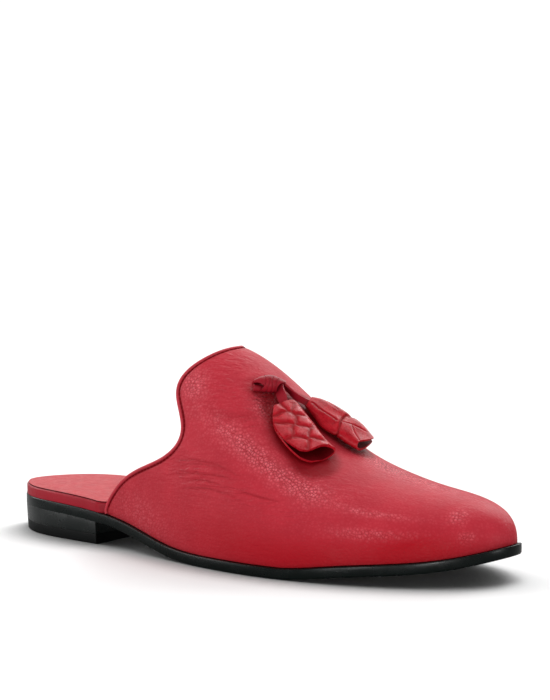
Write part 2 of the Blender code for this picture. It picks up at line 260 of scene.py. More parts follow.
@dataclass
class Last:
    """Form that all pieces follow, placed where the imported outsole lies."""

    length: float = 270 * MM
    ball_width: float = 86 * MM
    heel_height: float = 12 * MM
    toe_spring: float = 12 * MM
    instep_rise: float = 83 * MM
    sole_thickness: float = 4.6 * MM
    sole_proud: float = 1.8 * MM
    wall: float = 2.2 * MM
    gap: float = 0.3 * MM
    foot_round: float = 1.2 * MM
    foot_start: float = 0.955
    shift: Array = field(init=False)

    def __post_init__(self) -> None:
        """Work out the splines and the shoe's place in the frame."""
        self._half = self._run_spline(OUTLINE, "half")
        self._swing = self._run_spline(OUTLINE, "swing")
        self._rise = self._run_spline(SECTIONS, "rise")
        self._lean = self._run_spline(SECTIONS, "lean")
        self._fullness = self._run_spline(SECTIONS, "fullness")
        self._underside = natural_spline(
            [row.along * self.length for row in PROFILE],
            [row.heel * self.heel_height + row.spring * self.toe_spring for row in PROFILE],
        )
        rows = [(row.up - 1, row.along) for row in TOPLINE]
        rows += [(-around, along) for around, along in reversed(rows[:-1])]
        self._topline = natural_spline(
            [around for around, _ in rows], [self.run_at(along) for _, along in rows]
        )
        self.shift = np.zeros(3)
        outer_edge = self.outline(np.linspace(0, 1, EDGE_SAMPLES), Side.OUTER.value)[:, 1].min()
        low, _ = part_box("outsole")
        self.shift = np.array([low.x, low.y - outer_edge, 0.0])

    def _run_spline(self, rows: Sequence[tuple], name: str) -> Curve:
        """Spline of one named column of a table over the run."""
        values = [getattr(row, name) for row in rows]
        return natural_spline([self.run_at(row.along) for row in rows], values)

    def run_at(self, along: Array) -> Array:
        """Run of a place that is this share of the length ahead of the heel."""
        return np.arccos(1 - 2 * np.clip(along, 0, 1)) / pi

    def ahead(self, run: Array) -> Array:
        """Distance of a run ahead of the back of the heel."""
        return self.length * (1 - np.cos(pi * np.asarray(run))) / 2

    def underside(self, ahead: Array) -> Array:
        """Height of the outsole's underside above the floor."""
        return np.maximum(0.0, self._underside(ahead))

    def topside(self, ahead: Array) -> Array:
        """Height of the outsole's upper face above the floor."""
        return self.underside(ahead) + self.sole_thickness

    def outline(self, run: Array, side: int) -> Array:
        """Plan points of the sole's edge.

        Args:
            run: Runs of the points.
            side: -1 for the outer side or 1 for the inner side.

        Returns:
            Points with x and y.
        """
        run = np.asarray(run, dtype=float)
        y = self.ball_width * (self._swing(run) + side * self._half(run))
        return np.stack([self.ahead(run) + self.shift[0], y + self.shift[1]], -1)

    def edge(self, run: Array, side: int, inset: Array = 0.0) -> Array:
        """Plan points of the sole's edge, moved squarely inwards.

        Args:
            run: Runs of the points.
            side: -1 for the outer side or 1 for the inner side.
            inset: How far to move each point.

        Returns:
            Points with x and y.
        """
        ahead, behind = self.outline(run + TINY_STEP, side), self.outline(run - TINY_STEP, side)
        tangent = unit(ahead - behind)
        square = side * np.stack([tangent[..., 1], -tangent[..., 0]], -1)
        return self.outline(run, side) + np.asarray(inset)[..., None] * square

    def upper(self, run: Array, around: Array) -> Array:
        """Points on the upper's outer face.

        Args:
            run: Runs of the points.
            around: Ways around the upper, of a shape that fits the runs.

        Returns:
            Points with x, y and z.
        """
        run, around = np.broadcast_arrays(np.asarray(run, float), np.asarray(around, float))
        outer, inner = [self.edge(run, side.value, self.sole_proud) for side in Side]
        ridge_y = self.ball_width * self._lean(run) + self.shift[1]
        ridge = np.stack([(outer[..., 0] + inner[..., 0]) / 2, ridge_y], -1)
        foot = np.where((around < 0)[..., None], outer, inner)
        angle = np.abs(around) * pi / 2
        power = 2 / self._fullness(run)
        plan = ridge + (foot - ridge) * (np.sin(angle) ** power)[..., None]
        height = self.topside(plan[..., 0] - self.shift[0]) + self.gap
        height = height + self.instep_rise * self._rise(run) * np.clip(np.cos(angle), 0, 1) ** power
        return np.concatenate([plan, height[..., None]], -1)

    def normal(self, run: Array, around: Array) -> Array:
        """Unit vectors that point out of the upper's outer face.

        Args:
            run: Runs of the places.
            around: Ways around the upper.

        Returns:
            One vector for each place.
        """
        run = np.minimum(run, 1 - 2 * SMALL_STEP)
        around = np.clip(around, SMALL_STEP - 1, 1 - SMALL_STEP)
        along = self.upper(run + SMALL_STEP, around) - self.upper(run - SMALL_STEP, around)
        up = self.upper(run, around + SMALL_STEP) - self.upper(run, around - SMALL_STEP)
        return unit(np.cross(along, up))

    def topline(self, around: Array) -> Array:
        """Run of the opening's edge, whose foot is rounded forward where it meets the sole.

        Args:
            around: Ways around the upper.

        Returns:
            One run for each.
        """
        around = np.asarray(around, dtype=float)
        share = np.clip((np.abs(around) - self.foot_start) / (1 - self.foot_start), 0, 1)
        turn = self.foot_round * (1 - np.sqrt(1 - np.minimum(share, ALMOST_ONE) ** 2))
        return self._topline(around) + turn / self.length

    def inside(self, around: Array, distance: Array) -> Array:
        """Run of the places that lie inside the topline, measured squarely to it.

        Args:
            around: Ways around the upper.
            distance: How far inside the places lie.

        Returns:
            One run for each.
        """
        run = self.topline(around)
        at = np.clip(around, SMALL_STEP - 1, 1 - SMALL_STEP)
        line = self.upper(self.topline(at + SMALL_STEP), at + SMALL_STEP)
        line = line - self.upper(self.topline(at - SMALL_STEP), at - SMALL_STEP)
        forward = self.upper(run + SMALL_STEP, around) - self.upper(run, around)
        square = np.linalg.norm(np.cross(line, forward), axis=-1)
        square = square / np.linalg.norm(line, axis=-1)
        return run + distance / square * SMALL_STEP

    def seat(self, along: float, around: float, lift: float = 0.0) -> tuple[Array, Array]:
        """Place above the upper.

        Args:
            along: Share of the shoe's length ahead of the heel.
            around: Way around the upper.
            lift: How far off the upper the place lies.

        Returns:
            The place, and the direction out of the upper there.
        """
        run = self.run_at(along)
        normal = self.normal(run, around)
        return self.upper(run, around) + normal * lift, normal


# ---------------------------------------------------------------- meshes


@dataclass
class Skin:
    """Collects grids of points and turns them into one smooth mesh."""

    points: list[Array] = field(default_factory=list)
    faces: list[tuple[int, ...]] = field(default_factory=list)
    slots: list[int] = field(default_factory=list)
    marks: list[dict[str, Array]] = field(default_factory=list)
    count: int = 0

    def add(self, grid: Array, **marks: Array) -> Array:
        """Add points without faces.

        Args:
            grid: Points, in any arrangement.
            marks: Named values, one for each point.

        Returns:
            The numbers of the new points, arranged as the grid.
        """
        flat = grid.reshape(-1, 3)
        ids = self.count + np.arange(len(flat)).reshape(grid.shape[:-1])
        self.points.append(flat)
        self.marks.append({name: np.ravel(values) for name, values in marks.items()})
        self.count += len(flat)
        return ids

    def marked(self, name: str) -> Array:
        """Values of one mark at all points, 0 where a grid has none."""
        rows = zip(self.points, self.marks)
        return np.concatenate([marks.get(name, np.zeros(len(points))) for points, marks in rows])

    def quads(self, ids: Array, flip: bool = False, slot: int = 0) -> None:
        """Fill a grid of point numbers with faces.

        Args:
            ids: Numbers of the points.
            flip: True to turn the faces over.
            slot: Number of their finish.
        """
        corners = [ids[:-1, :-1], ids[1:, :-1], ids[1:, 1:], ids[:-1, 1:]]
        if flip:
            corners.reverse()
        made = np.stack([corner.reshape(-1) for corner in corners], -1)
        self.faces.extend(map(tuple, made.tolist()))
        self.slots.extend([slot] * len(made))

    def sheet(self, grid: Array, flip: bool = False, slot: int = 0, **marks: Array) -> Array:
        """Add a grid of points with faces.

        Args:
            grid: Points in rows and columns.
            flip: True to turn the faces over.
            slot: Number of their finish.
            marks: Named values, one for each point.

        Returns:
            The numbers of the new points, arranged as the grid.
        """
        ids = self.add(grid, **marks)
        self.quads(ids, flip, slot)
        return ids

    def strip(self, first: Array, second: Array, flip: bool = False, slot: int = 0) -> None:
        """Fill the strip between two rows of points that may differ in number.

        Args:
            first: Numbers of the points of one row.
            second: Numbers of the points of the other row, or of one point for a fan.
            flip: True to turn the faces over.
            slot: Number of their finish.
        """
        i = j = 0
        while i < len(first) - 1 or j < len(second) - 1:
            ahead = j == len(second) - 1 or (
                i < len(first) - 1 and (i + 1) / (len(first) - 1) <= (j + 1) / (len(second) - 1)
            )
            if ahead:
                face = (int(first[i]), int(first[i + 1]), int(second[j]))
                i += 1
            else:
                face = (int(first[i]), int(second[j + 1]), int(second[j]))
                j += 1
            self.faces.append(face[::-1] if flip else face)
            self.slots.append(slot)

    def piece(self, name: str, finishes: Sequence["Finish"]) -> bpy.types.Object:
        """Weld the points and make the object.

        Args:
            name: Name of the piece.
            finishes: One finish for each slot number used.

        Returns:
            The object, in the scene.
        """
        points = np.concatenate(self.points)
        cells = np.round(points / WELD).astype(np.int64)
        _, first, welded = np.unique(cells, axis=0, return_index=True, return_inverse=True)
        welded = welded.reshape(-1).tolist()
        faces, slots = [], []
        for face, slot in zip(self.faces, self.slots):
            corners = list(dict.fromkeys(welded[corner] for corner in face))
            if len(corners) > 2:
                faces.append(corners)
                slots.append(slot)
        mesh = bpy.data.meshes.new(name)
        mesh.from_pydata(points[first], [], faces)
        for finish in finishes:
            mesh.materials.append(finish.material())
        mesh.polygons.foreach_set("material_index", slots)
        for mark in sorted(set().union(*self.marks)):
            layer = mesh.attributes.new(mark, "FLOAT", "POINT")
            layer.data.foreach_set("value", self.marked(mark)[first].astype(np.float32))
        mesh.validate()
        turned = bmesh.new()
        turned.from_mesh(mesh)
        bmesh.ops.recalc_face_normals(turned, faces=turned.faces)
        turned.to_mesh(mesh)
        turned.free()
        mesh.shade_smooth()
        mesh.set_sharp_from_angle(angle=radians(SHARP_ANGLE))
        return shown(name, mesh)


def shown(name: str, data: bpy.types.ID) -> bpy.types.Object:
    """New object in the scene.

    Args:
        name: Name of the object.
        data: Mesh, light or camera that it shows.

    Returns:
        The object.
    """
    made = bpy.data.objects.new(name, data)
    bpy.context.scene.collection.objects.link(made)
    return made


def wear(made: bpy.types.Object, slot: Slot, *nodes: str) -> None:
    """Let a piece ride on the shoe.

    Args:
        made: Object of the piece.
        slot: Its material slot, not used.
        nodes: Solids that it stands for.
    """
    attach(made, BODY)
    if nodes:
        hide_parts(*nodes)
    log.info("%s: %d faces", made.name, len(made.data.polygons))


# ---------------------------------------------------------------- finishes


class Ramp(NamedTuple):
    """Smooth change from start to end while another value rises from low to high."""

    low: float
    high: float
    start: float = 0.0
    end: float = 1.0


class Drift(NamedTuple):
    """Push that unsettles a pattern: its size in millimetres, how far, and how it is stretched."""

    size: float
    amount: float
    stretch: Colour = WHITE


class Noise(NamedTuple):
    """Soft noise: size of its features in millimetres, its detail and its drift."""

    size: float
    detail: float = 3.0
    drift: Drift | None = None


class Mottle(NamedTuple):
    """Soft patches, the range of what they vary, and how far from the middle they level off."""

    noise: Noise
    low: float
    high: float
    spread: float = 0.2


PURE_SHARES = (0.92, 0.15, 0.3)
DEEP_POWERS = (1, 3, 2.5)
PALE_GAIN = 2
PALE_LIFTS = (0.0, 0.12, 0.13)
CREVICE_SAMPLES = 4
CREVICE_SPAN = 0.8
CELL_RANDOMNESS = 0.8


class Graph:
    """Short way to write shader nodes."""

    def __init__(self, tree: bpy.types.NodeTree) -> None:
        """Work on one tree of nodes."""
        self.tree = tree

    def fill(self, node: bpy.types.Node, inputs: dict[str | int, Value]) -> None:
        """Link inputs of a node to sockets, or give them plain values.

        Args:
            node: Node to fill.
            inputs: Sockets, numbers or colours, by the name or the number of the input.
        """
        for name, value in inputs.items():
            socket = node.inputs[name]
            if isinstance(value, bpy.types.NodeSocket):
                self.tree.links.new(value, socket)
            else:
                socket.default_value = (*value, 1) if socket.type == "RGBA" else value

    def node(self, kind: str, inputs: dict[str | int, Value], **settings: object) -> bpy.types.Node:
        """Add a node.

        Args:
            kind: Kind of shader node.
            inputs: Sockets or values of its inputs.
            settings: Its other properties.

        Returns:
            The node.
        """
        made = self.tree.nodes.new("ShaderNode" + kind)
        for name, value in settings.items():
            setattr(made, name, value)
        self.fill(made, inputs)
        return made

    @cached_property
    def place(self) -> Value:
        """Places on the object, in millimetres."""
        places = self.node("TexCoord", {}).outputs["Object"]
        return self.node("VectorMath", {0: places, "Scale": 1 / MM}, operation="SCALE").outputs[0]

    def math(self, operation: str, *values: Value) -> Value:
        """Result of one sum on numbers."""
        return self.node("Math", dict(enumerate(values)), operation=operation).outputs[0]

    def vector(self, operation: str, *values: Value) -> Value:
        """Result of one sum on vectors."""
        return self.node("VectorMath", dict(enumerate(values)), operation=operation).outputs[0]

    def times(self, first: Value, second: Value) -> Value:
        """Product of two numbers."""
        return self.math("MULTIPLY", first, second)

    def ramp(self, value: Value, ramp: Ramp) -> Value:
        """Value carried smoothly from one range to another, and held at its ends."""
        inputs = {"Value": value, **dict(zip(("From Min", "From Max", "To Min", "To Max"), ramp))}
        return self.node("MapRange", inputs, interpolation_type="SMOOTHSTEP").outputs[0]

    def noise(self, noise: Noise) -> Value:
        """Soft noise, read at places that drift if it says so.

        Args:
            noise: Size, detail and drift.

        Returns:
            Values around one half.
        """
        place = self.drift(noise.drift) if noise.drift else self.place
        inputs = {"Vector": place, "Scale": 1 / noise.size, "Detail": noise.detail}
        return self.node("TexNoise", inputs).outputs[0]

    def patches(self, mottle: Mottle, base: float = 0.0) -> Value:
        """Value that varies softly about a base.

        Args:
            mottle: Noise, range and spread.
            base: Number that the range is added to.

        Returns:
            The value.
        """
        low, high, spread = mottle[1:]
        return self.ramp(
            self.noise(mottle.noise), Ramp(0.5 - spread, 0.5 + spread, base + low, base + high)
        )

    def cells(self, size: float, place: Value, feature: str = "DISTANCE_TO_EDGE") -> Value:
        """Distance to the borders, or the centres, of random cells of this size in millimetres."""
        inputs = {"Vector": place, "Scale": 1 / size, "Randomness": CELL_RANDOMNESS}
        return self.node("TexVoronoi", inputs, feature=feature).outputs["Distance"]

    def drift(self, drift: Drift) -> Value:
        """Places pushed about by noise, so that a pattern loses its regularity.

        Args:
            drift: Size and strength of the push.

        Returns:
            The places.
        """
        inputs = {"Vector": self.place, "Scale": 1 / drift.size}
        noise = self.node("TexNoise", inputs).outputs["Color"]
        centred = self.vector("SUBTRACT", noise, (0.5,) * 3)
        pushed = self.vector("MULTIPLY_ADD", centred, (drift.amount,) * 3, self.place)
        return pushed if drift.stretch == WHITE else self.vector("MULTIPLY", pushed, drift.stretch)

    def crevice(self, reach: float, wide: float) -> Value:
        """How closed in a place is by what lies within reach, from 0 when this wide open to 1."""
        node = self.node("AmbientOcclusion", {"Distance": reach}, samples=CREVICE_SAMPLES)
        return self.ramp(node.outputs["AO"], Ramp(wide - CREVICE_SPAN, wide, 1.0, 0.0))

    def mark(self, name: str) -> Value:
        """Value that the mesh carries at each of its points."""
        return self.node("Attribute", {}, attribute_name=name).outputs["Fac"]

    def blend(self, share: Value, first: Value, second: Value) -> Value:
        """Colour between two colours."""
        inputs = {"Factor": share, MIX_FIRST: first, MIX_SECOND: second}
        return self.node("Mix", inputs, data_type="RGBA").outputs[MIX_RESULT]

    def relief(self, height: Value, depth: float, under: Value | None = None) -> Value:
        """Normal of a relief whose height of 1 is this deep in metres, over another one."""
        lower = {} if under is None else {"Normal": under}
        return self.node("Bump", {"Distance": depth, "Height": height, **lower}).outputs[0]

    def by_ray(self, others: bpy.types.Node, seen: bpy.types.Node, out: str) -> None:
        """Show one shader to the camera and another to the light that bounces.

        Args:
            others: Shader for bounced light.
            seen: Shader for the camera.
            out: Name of the output that takes the mix.
        """
        camera = self.node("LightPath", {}).outputs["Is Camera Ray"]
        mix = self.node("MixShader", {0: camera, 1: others.outputs[0], 2: seen.outputs[0]})
        self.fill(self.tree.nodes[out], {"Surface": mix.outputs[0]})


def new_material(name: str) -> tuple[bpy.types.Material, Graph]:
    """Start a material.

    Args:
        name: Name of the material.

    Returns:
        The material, and the graph that writes its nodes.
    """
    material = bpy.data.materials.new(name)
    material.use_nodes = True
    return material, Graph(material.node_tree)


@dataclass(frozen=True)
class Finish:
    """Surface of one kind, made once and shared by the pieces that wear it."""

    name: str
    colour: Colour
    roughness: float
    gloss: float = 0.35
    # The next four fields set how much shade is painted into crevices, how far it reaches and how
    # deep its colour is.
    painted_shade: float = 0.75
    crevice_shade_reach: float = 5 * MM
    crevice_shade_below: float = 0.9
    tone: Mottle = Mottle(Noise(7.0, 4.0), 0.92, 1.08)
    wear: Mottle = Mottle(Noise(3.0), -0.05, 0.06)
    crevice_shade_deep: float = 0.3

    def material(self) -> bpy.types.Material:
        """The material, from an earlier piece if one has it.

        Returns:
            The material.
        """
        found = bpy.data.materials.get(self.name)
        if found:
            return found
        material, graph = new_material(self.name)
        inputs = {"Specular IOR Level": self.gloss, **self.surface(graph)}
        if "Roughness" not in inputs:
            inputs["Roughness"] = graph.patches(self.wear, self.roughness)
        graph.fill(graph.tree.nodes["Principled BSDF"], inputs)
        return material

    def surface(self, graph: Graph) -> dict[str, Value]:
        """Colour, relief and other inputs of the shader."""
        raise NotImplementedError

    def toned(self, graph: Graph) -> Value:
        """The colour, lighter and darker in soft patches."""
        share = graph.patches(self.tone._replace(low=0.0, high=1.0))
        return graph.blend(share, self.shade(self.tone.low), self.shade(self.tone.high))

    def shade(self, factor: float) -> Colour:
        """The colour, darker or lighter by a factor."""
        return tuple(min(1.0, part * factor) for part in self.colour)

    def deep(self, factor: float) -> Colour:
        """The colour darker by a factor, and purer too."""
        return tuple(part * factor**power for part, power in zip(self.colour, DEEP_POWERS))

    def pure(self) -> Colour:
        """The colour a little darker and much purer."""
        return tuple(part * share for part, share in zip(self.colour, PURE_SHARES))

    def pale(self) -> Colour:
        """The colour of painted highlights."""
        lifted = [PALE_GAIN * part + lift for part, lift in zip(self.colour, PALE_LIFTS)]
        return tuple(min(1.0, part) for part in lifted)

    def crevice_shaded(self, graph: Graph, colour: Value) -> Value:
        """The colour with painted shade, darker in crevices."""
        # Painted shade: darker where nearby surfaces close a place in.
        amount = graph.times(graph.crevice(self.crevice_shade_reach, self.crevice_shade_below), self.painted_shade)
        return graph.blend(amount, colour, self.deep(self.crevice_shade_deep))


@dataclass(frozen=True)
class GrainedLeather(Finish):
    """Tumbled leather whose pebbles stand out where the mesh's grain mark says so."""

    tone: Mottle = Mottle(Noise(14.0), 0.94, 1.06)
    wear: Mottle = Mottle(Noise(6.0), -0.04, 0.05)
    # Patches where the pebbles' tops are polished, which also set where their highlight is painted.
    polish_and_highlight: Mottle = Mottle(Noise(2.6, 2.0), 0.55, 1.0, 0.15)
    crumple: Mottle = Mottle(Noise(1.5, 1.0, Drift(6.0, 2.5, (0.17, 0.5, 1.0))), 0.0, 1.0, 0.15)
    bumps: Noise = Noise(1.1, 2.0, Drift(3.0, 1.0, (0.6, 1.0, 1.0)))
    pores: Noise = Noise(0.35)
    pebble: float = 1.4
    jumble: Drift = Drift(2.2, 1.0)
    dome: Ramp = Ramp(0.1, 0.7, 0.6, 0.0)
    groove: Ramp = Ramp(0.0, 0.22, 0.0, 0.5)
    crown: Ramp = Ramp(0.12, 0.55, 1.0, 0.35)
    groove_shade: Ramp = Ramp(0.0, 0.16, 0.6, 0.0)
    depth: float = 0.3 * MM
    bump_depth: float = 0.12 * MM
    fold_depth: float = 0.34 * MM
    pore_depth: float = 0.03 * MM
    sheen: float = 0.006
    sheen_spread: float = 0.4
    shine: float = 0.4
    shine_spread: float = 0.28
    top_highlight: float = 0.7
    grain_highlight: float = 0.12
    groove_shade_deep: float = 0.62
    shade_deep: float = 0.45

    def surface(self, graph: Graph) -> dict[str, Value]:
        """Pebbles with polished tops, painted highlights and fine pores, with painted shade in
        their grooves, in crevices and where the mesh is shaded.

        Args:
            graph: Graph of the material.

        Returns:
            Inputs of the shader.
        """
        grain = graph.mark("grain")
        places = graph.drift(self.jumble)
        edge = graph.cells(self.pebble, places)
        centre = graph.cells(self.pebble, places, "F1")
        height = graph.math("ADD", graph.ramp(centre, self.dome), graph.ramp(edge, self.groove))
        coarse = graph.relief(graph.times(height, grain), self.depth)
        normal = graph.relief(graph.noise(self.bumps), self.bump_depth, coarse)
        folds = graph.times(graph.patches(self.crumple), graph.mark("fold"))
        normal = graph.relief(folds, self.fold_depth, normal)
        normal = graph.relief(graph.noise(self.pores), self.pore_depth, normal)
        top = graph.times(graph.ramp(centre, self.crown), grain)
        top = graph.times(top, graph.patches(self.polish_and_highlight))
        colour = self.toned(graph)
        for share, other in (
            # painted highlight over the grain, and brighter on the pebbles' tops
            (graph.times(grain, self.grain_highlight), self.pale()),
            (graph.times(top, self.top_highlight), self.pale()),
            # painted shade in the grooves between the pebbles
            (graph.times(graph.ramp(edge, self.groove_shade), grain), self.deep(self.groove_shade_deep)),
            # painted shade low on the outer side
            (graph.mark("dye"), self.pure()),
            (graph.mark("shade"), self.deep(self.shade_deep)),
        ):
            colour = graph.blend(share, colour, other)
        return {
            "Base Color": self.crevice_shaded(graph, colour),
            "Normal": normal,
            "Coat Weight": graph.times(top, self.shine),
            "Coat Roughness": self.shine_spread,
            "Coat Normal": coarse,
            "Sheen Weight": self.sheen,
            "Sheen Roughness": self.sheen_spread,
        }


@dataclass(frozen=True)
class SmoothLeather(Finish):
    """Close-grained leather with fine pores and slight changes of tone."""

    pore: float = 0.55
    jumble: Drift = Drift(1.5, 0.5)
    pore_edge: Ramp = Ramp(0.0, 0.3)
    pore_depth: float = 0.04 * MM
    shade_deep: float = 0.3

    def surface(self, graph: Graph) -> dict[str, Value]:
        """Fine pores on a softly mottled colour.

        Args:
            graph: Graph of the material.

        Returns:
            Inputs of the shader.
        """
        pore = graph.ramp(graph.cells(self.pore, graph.drift(self.jumble)), self.pore_edge)
        colour = graph.blend(graph.mark("shade"), self.toned(graph), self.deep(self.shade_deep))
        normal = graph.relief(pore, self.pore_depth)
        return {"Base Color": self.crevice_shaded(graph, colour), "Normal": normal}


@dataclass(frozen=True)
class ScaledLeather(Finish):
    """Embossed leather: glossy scales with painted highlights, and painted shade with duller gloss
    in the grooves that the mesh marks.
    """

    tone: Mottle = Mottle(Noise(3.2), 0.86, 1.12, 0.18)
    wear: Mottle = Mottle(Noise(1.6), -0.06, 0.1)
    crackle: float = 1.1
    jumble: Drift = Drift(2.0, 1.2)
    crackle_edge: Ramp = Ramp(0.0, 0.12)
    crackle_depth: float = 0.012 * MM
    groove_deep: float = 0.5
    groove_dull: float = 0.4

    def surface(self, graph: Graph) -> dict[str, Value]:
        """Fine crackle over the modelled scales.

        Args:
            graph: Graph of the material.

        Returns:
            Inputs of the shader.
        """
        line = graph.ramp(graph.cells(self.crackle, graph.drift(self.jumble)), self.crackle_edge)
        groove = graph.mark("shade")
        # Painted highlight on the scales' middles, painted shade in the grooves.
        colour = graph.blend(graph.mark("pale"), self.toned(graph), self.pale())
        colour = graph.blend(groove, colour, self.deep(self.groove_deep))
        dull = graph.times(groove, self.groove_dull)
        return {
            "Base Color": self.crevice_shaded(graph, colour),
            "Roughness": graph.math("ADD", graph.patches(self.wear, self.roughness), dull),
            "Normal": graph.relief(line, self.crackle_depth),
        }


@dataclass(frozen=True)
class DullBlack(Finish):
    """Black sole leather or rubber with a faint relief of its own."""

    relief: Noise = Noise(0.4)
    depth: float = 0.03 * MM

    def surface(self, graph: Graph) -> dict[str, Value]:
        """Grit, or fine layers along an edge, on a softly mottled colour."""
        normal = graph.relief(graph.noise(self.relief), self.depth)
        return {"Base Color": self.toned(graph), "Normal": normal}


@dataclass(frozen=True)
class BlackedEdge(DullBlack):
    """Sole leather, inked black and waxed along its edge."""

    tone: Mottle = Mottle(Noise(20.0, 2.0), 0.85, 1.2)
    wear: Mottle = Mottle(Noise(9.0), -0.05, 0.07)
    relief: Noise = Noise(1.2, 3.0, Drift(8.0, 1.0, (0.12, 0.12, 2.2)))
    depth: float = 0.02 * MM


@dataclass(frozen=True)
class MattRubber(DullBlack):
    """Moulded rubber with a fine grit and dull patches."""

    tone: Mottle = Mottle(Noise(12.0), 0.85, 1.2)
    wear: Mottle = Mottle(Noise(5.0), -0.05, 0.08)


UPPER_LEATHER = GrainedLeather(
    "upper_leather", (0.485, 0.027, 0.043), 0.42, 0.06,
    painted_shade=0.9, crevice_shade_reach=7 * MM, crevice_shade_below=1.1,
)
LINING_LEATHER = SmoothLeather("lining_leather", (0.37, 0.037, 0.044), 0.5)
BINDING_LEATHER = SmoothLeather("binding_leather", (0.5, 0.034, 0.052), 0.38, 0.19)
STRAP_LEATHER = SmoothLeather("strap_leather", (0.31, 0.009, 0.02), 0.42, 0.15)
LEAF_LEATHER = ScaledLeather(
    "leaf_leather", (0.42, 0.008, 0.017), 0.28, 0.17, painted_shade=0.85, crevice_shade_below=1.0
)
# Near-black inside of the leaves: painted shade in the mouths and under the folds, with more
# painted shade in crevices.
SHADED_LEAF_BACK = SmoothLeather(
    "shaded_leaf_back", (0.15, 0.002, 0.006), 0.55, 0.04,
    painted_shade=1.0, crevice_shade_reach=8 * MM, crevice_shade_below=1.15,
)
SOCK_LEATHER = SmoothLeather(
    "sock_leather", (0.5, 0.033, 0.042), 0.4, 0.06, tone=Mottle(Noise(7.0, 4.0), 0.95, 1.05)
)
# Near-black side of the sock: painted shade along the sock's edge.
SHADED_SOCK_EDGE = SmoothLeather("sock_edge_shade", (0.07, 0.003, 0.006), 0.6, 0.05)
BAND_LEATHER = GrainedLeather(
    "band_leather", (0.33, 0.011, 0.023), 0.42, 0.13,
    painted_shade=0.3, pebble=0.9, depth=0.05 * MM, shine=0.1,
)
THREAD = SmoothLeather("dark_red_thread", (0.24, 0.003, 0.009), 0.6, 0.05)
HEEL_EDGE = BlackedEdge("black_heel_edge", (0.003, 0.005, 0.0045), 0.25, 0.45)
SOLE_EDGE = BlackedEdge("black_sole_edge", (0.002, 0.004, 0.0035), 0.25, 0.18)
SOLE_TREAD = MattRubber("black_sole_tread", (0.007, 0.009, 0.009), 0.6, 0.11)
TOP_PIECE = MattRubber("black_top_piece", (0.0025, 0.003, 0.003), 0.45, 0.1)


# ---------------------------------------------------------------- sole, heel and insole


class Level(NamedTuple):
    """One turn of a plate's side: how far inside the sole's edge it lies, and how high."""

    inset: Curve
    height: Curve


def same(value: float) -> Curve:
    """Function that is this value everywhere."""
    return lambda x: value + 0 * x


def rounded(inset: Curve, height: Curve, size: Curve, upwards: bool, steps: int = 4) -> list[Level]:
    """Levels that turn a plate's edge through a quarter circle.

    Args:
        inset: Inset of the plate's side.
        height: Height of the face that the side turns into.
        size: Radius of the turn.
        upwards: True at the upper edge, false at the lower one.
        steps: Turns in the quarter circle.

    Returns:
        Levels from the side to the face, or from the face to the side at a lower edge.
    """
    sign = 1 if upwards else -1

    def level(turn: float) -> Level:
        """One level of the quarter circle.

        Args:
            turn: Angle from the side, in radians.

        Returns:
            The level.
        """
        return Level(
            lambda x: inset(x) + size(x) * (1 - cos(turn)),
            lambda x: height(x) - sign * size(x) * (1 - sin(turn)),
        )

    return [level(turn) for turn in np.linspace(0, pi / 2, steps + 1)][::sign]


def side_levels(lower: tuple[Curve, ...], upper: tuple[Curve, ...], steps: int = 4) -> list[Level]:
    """Levels of a side that is rounded at both ends.

    Args:
        lower: Inset, height and radius at the lower edge.
        upper: Inset, height and radius at the upper edge.
        steps: Turns in the quarter circle of the upper edge.

    Returns:
        Levels from the lower face to the upper one.
    """
    return [*rounded(*lower, upwards=False), *rounded(*upper, upwards=True, steps=steps)]


@dataclass
class Plate:
    """Flat piece that follows the sole's outline, built up from levels."""

    last: Last
    levels: list[Level]
    rows: int = 220
    columns: int = 12
    length: float | None = None

    def slab(self, level: Level) -> Array:
        """Grid of points across the plate at one level, up to the breast if it ends there.

        Args:
            level: Level of the plate.

        Returns:
            Points in rows across the plate.
        """
        last = self.last
        end = 1.0 if self.length is None else float(last.run_at(self.length / last.length))
        run = np.linspace(0, end, self.rows + 1)
        ahead = last.ahead(run)
        inset = level.inset(ahead) * np.ones_like(ahead)
        outer, inner = [last.edge(run, side.value, inset)[:, None] for side in Side]
        share = np.linspace(0, 1, self.columns + 1)[None, :, None]
        plan = outer * (1 - share) + inner * share
        if self.length is not None:
            plan[..., 0] = np.minimum(plan[..., 0], self.length + last.shift[0])
            plan[-1, :, 0] = self.length + last.shift[0]
        height = level.height(plan[..., 0] - last.shift[0]) * np.ones(plan.shape[:2])
        return np.concatenate([plan, height[..., None]], -1)

    def build(
        self, name: str, *finishes: Finish, slots: tuple[int, int] = (0, 0)
    ) -> bpy.types.Object:
        """Make the plate.

        Args:
            name: Name of the piece.
            finishes: Finish of the side and, if another is used, of the faces.
            slots: Finish numbers of the lower and the upper face.

        Returns:
            The object.
        """
        slabs = [self.slab(level) for level in self.levels]
        skin = Skin()
        skin.sheet(slabs[0], flip=True, slot=slots[0])
        skin.sheet(slabs[-1], slot=slots[1])
        skin.sheet(np.stack([slab[:, 0] for slab in slabs], 1), flip=True)
        skin.sheet(np.stack([slab[:, -1] for slab in slabs], 1))
        skin.sheet(np.stack([slab[-1] for slab in slabs], 1))
        return skin.piece(name, finishes)


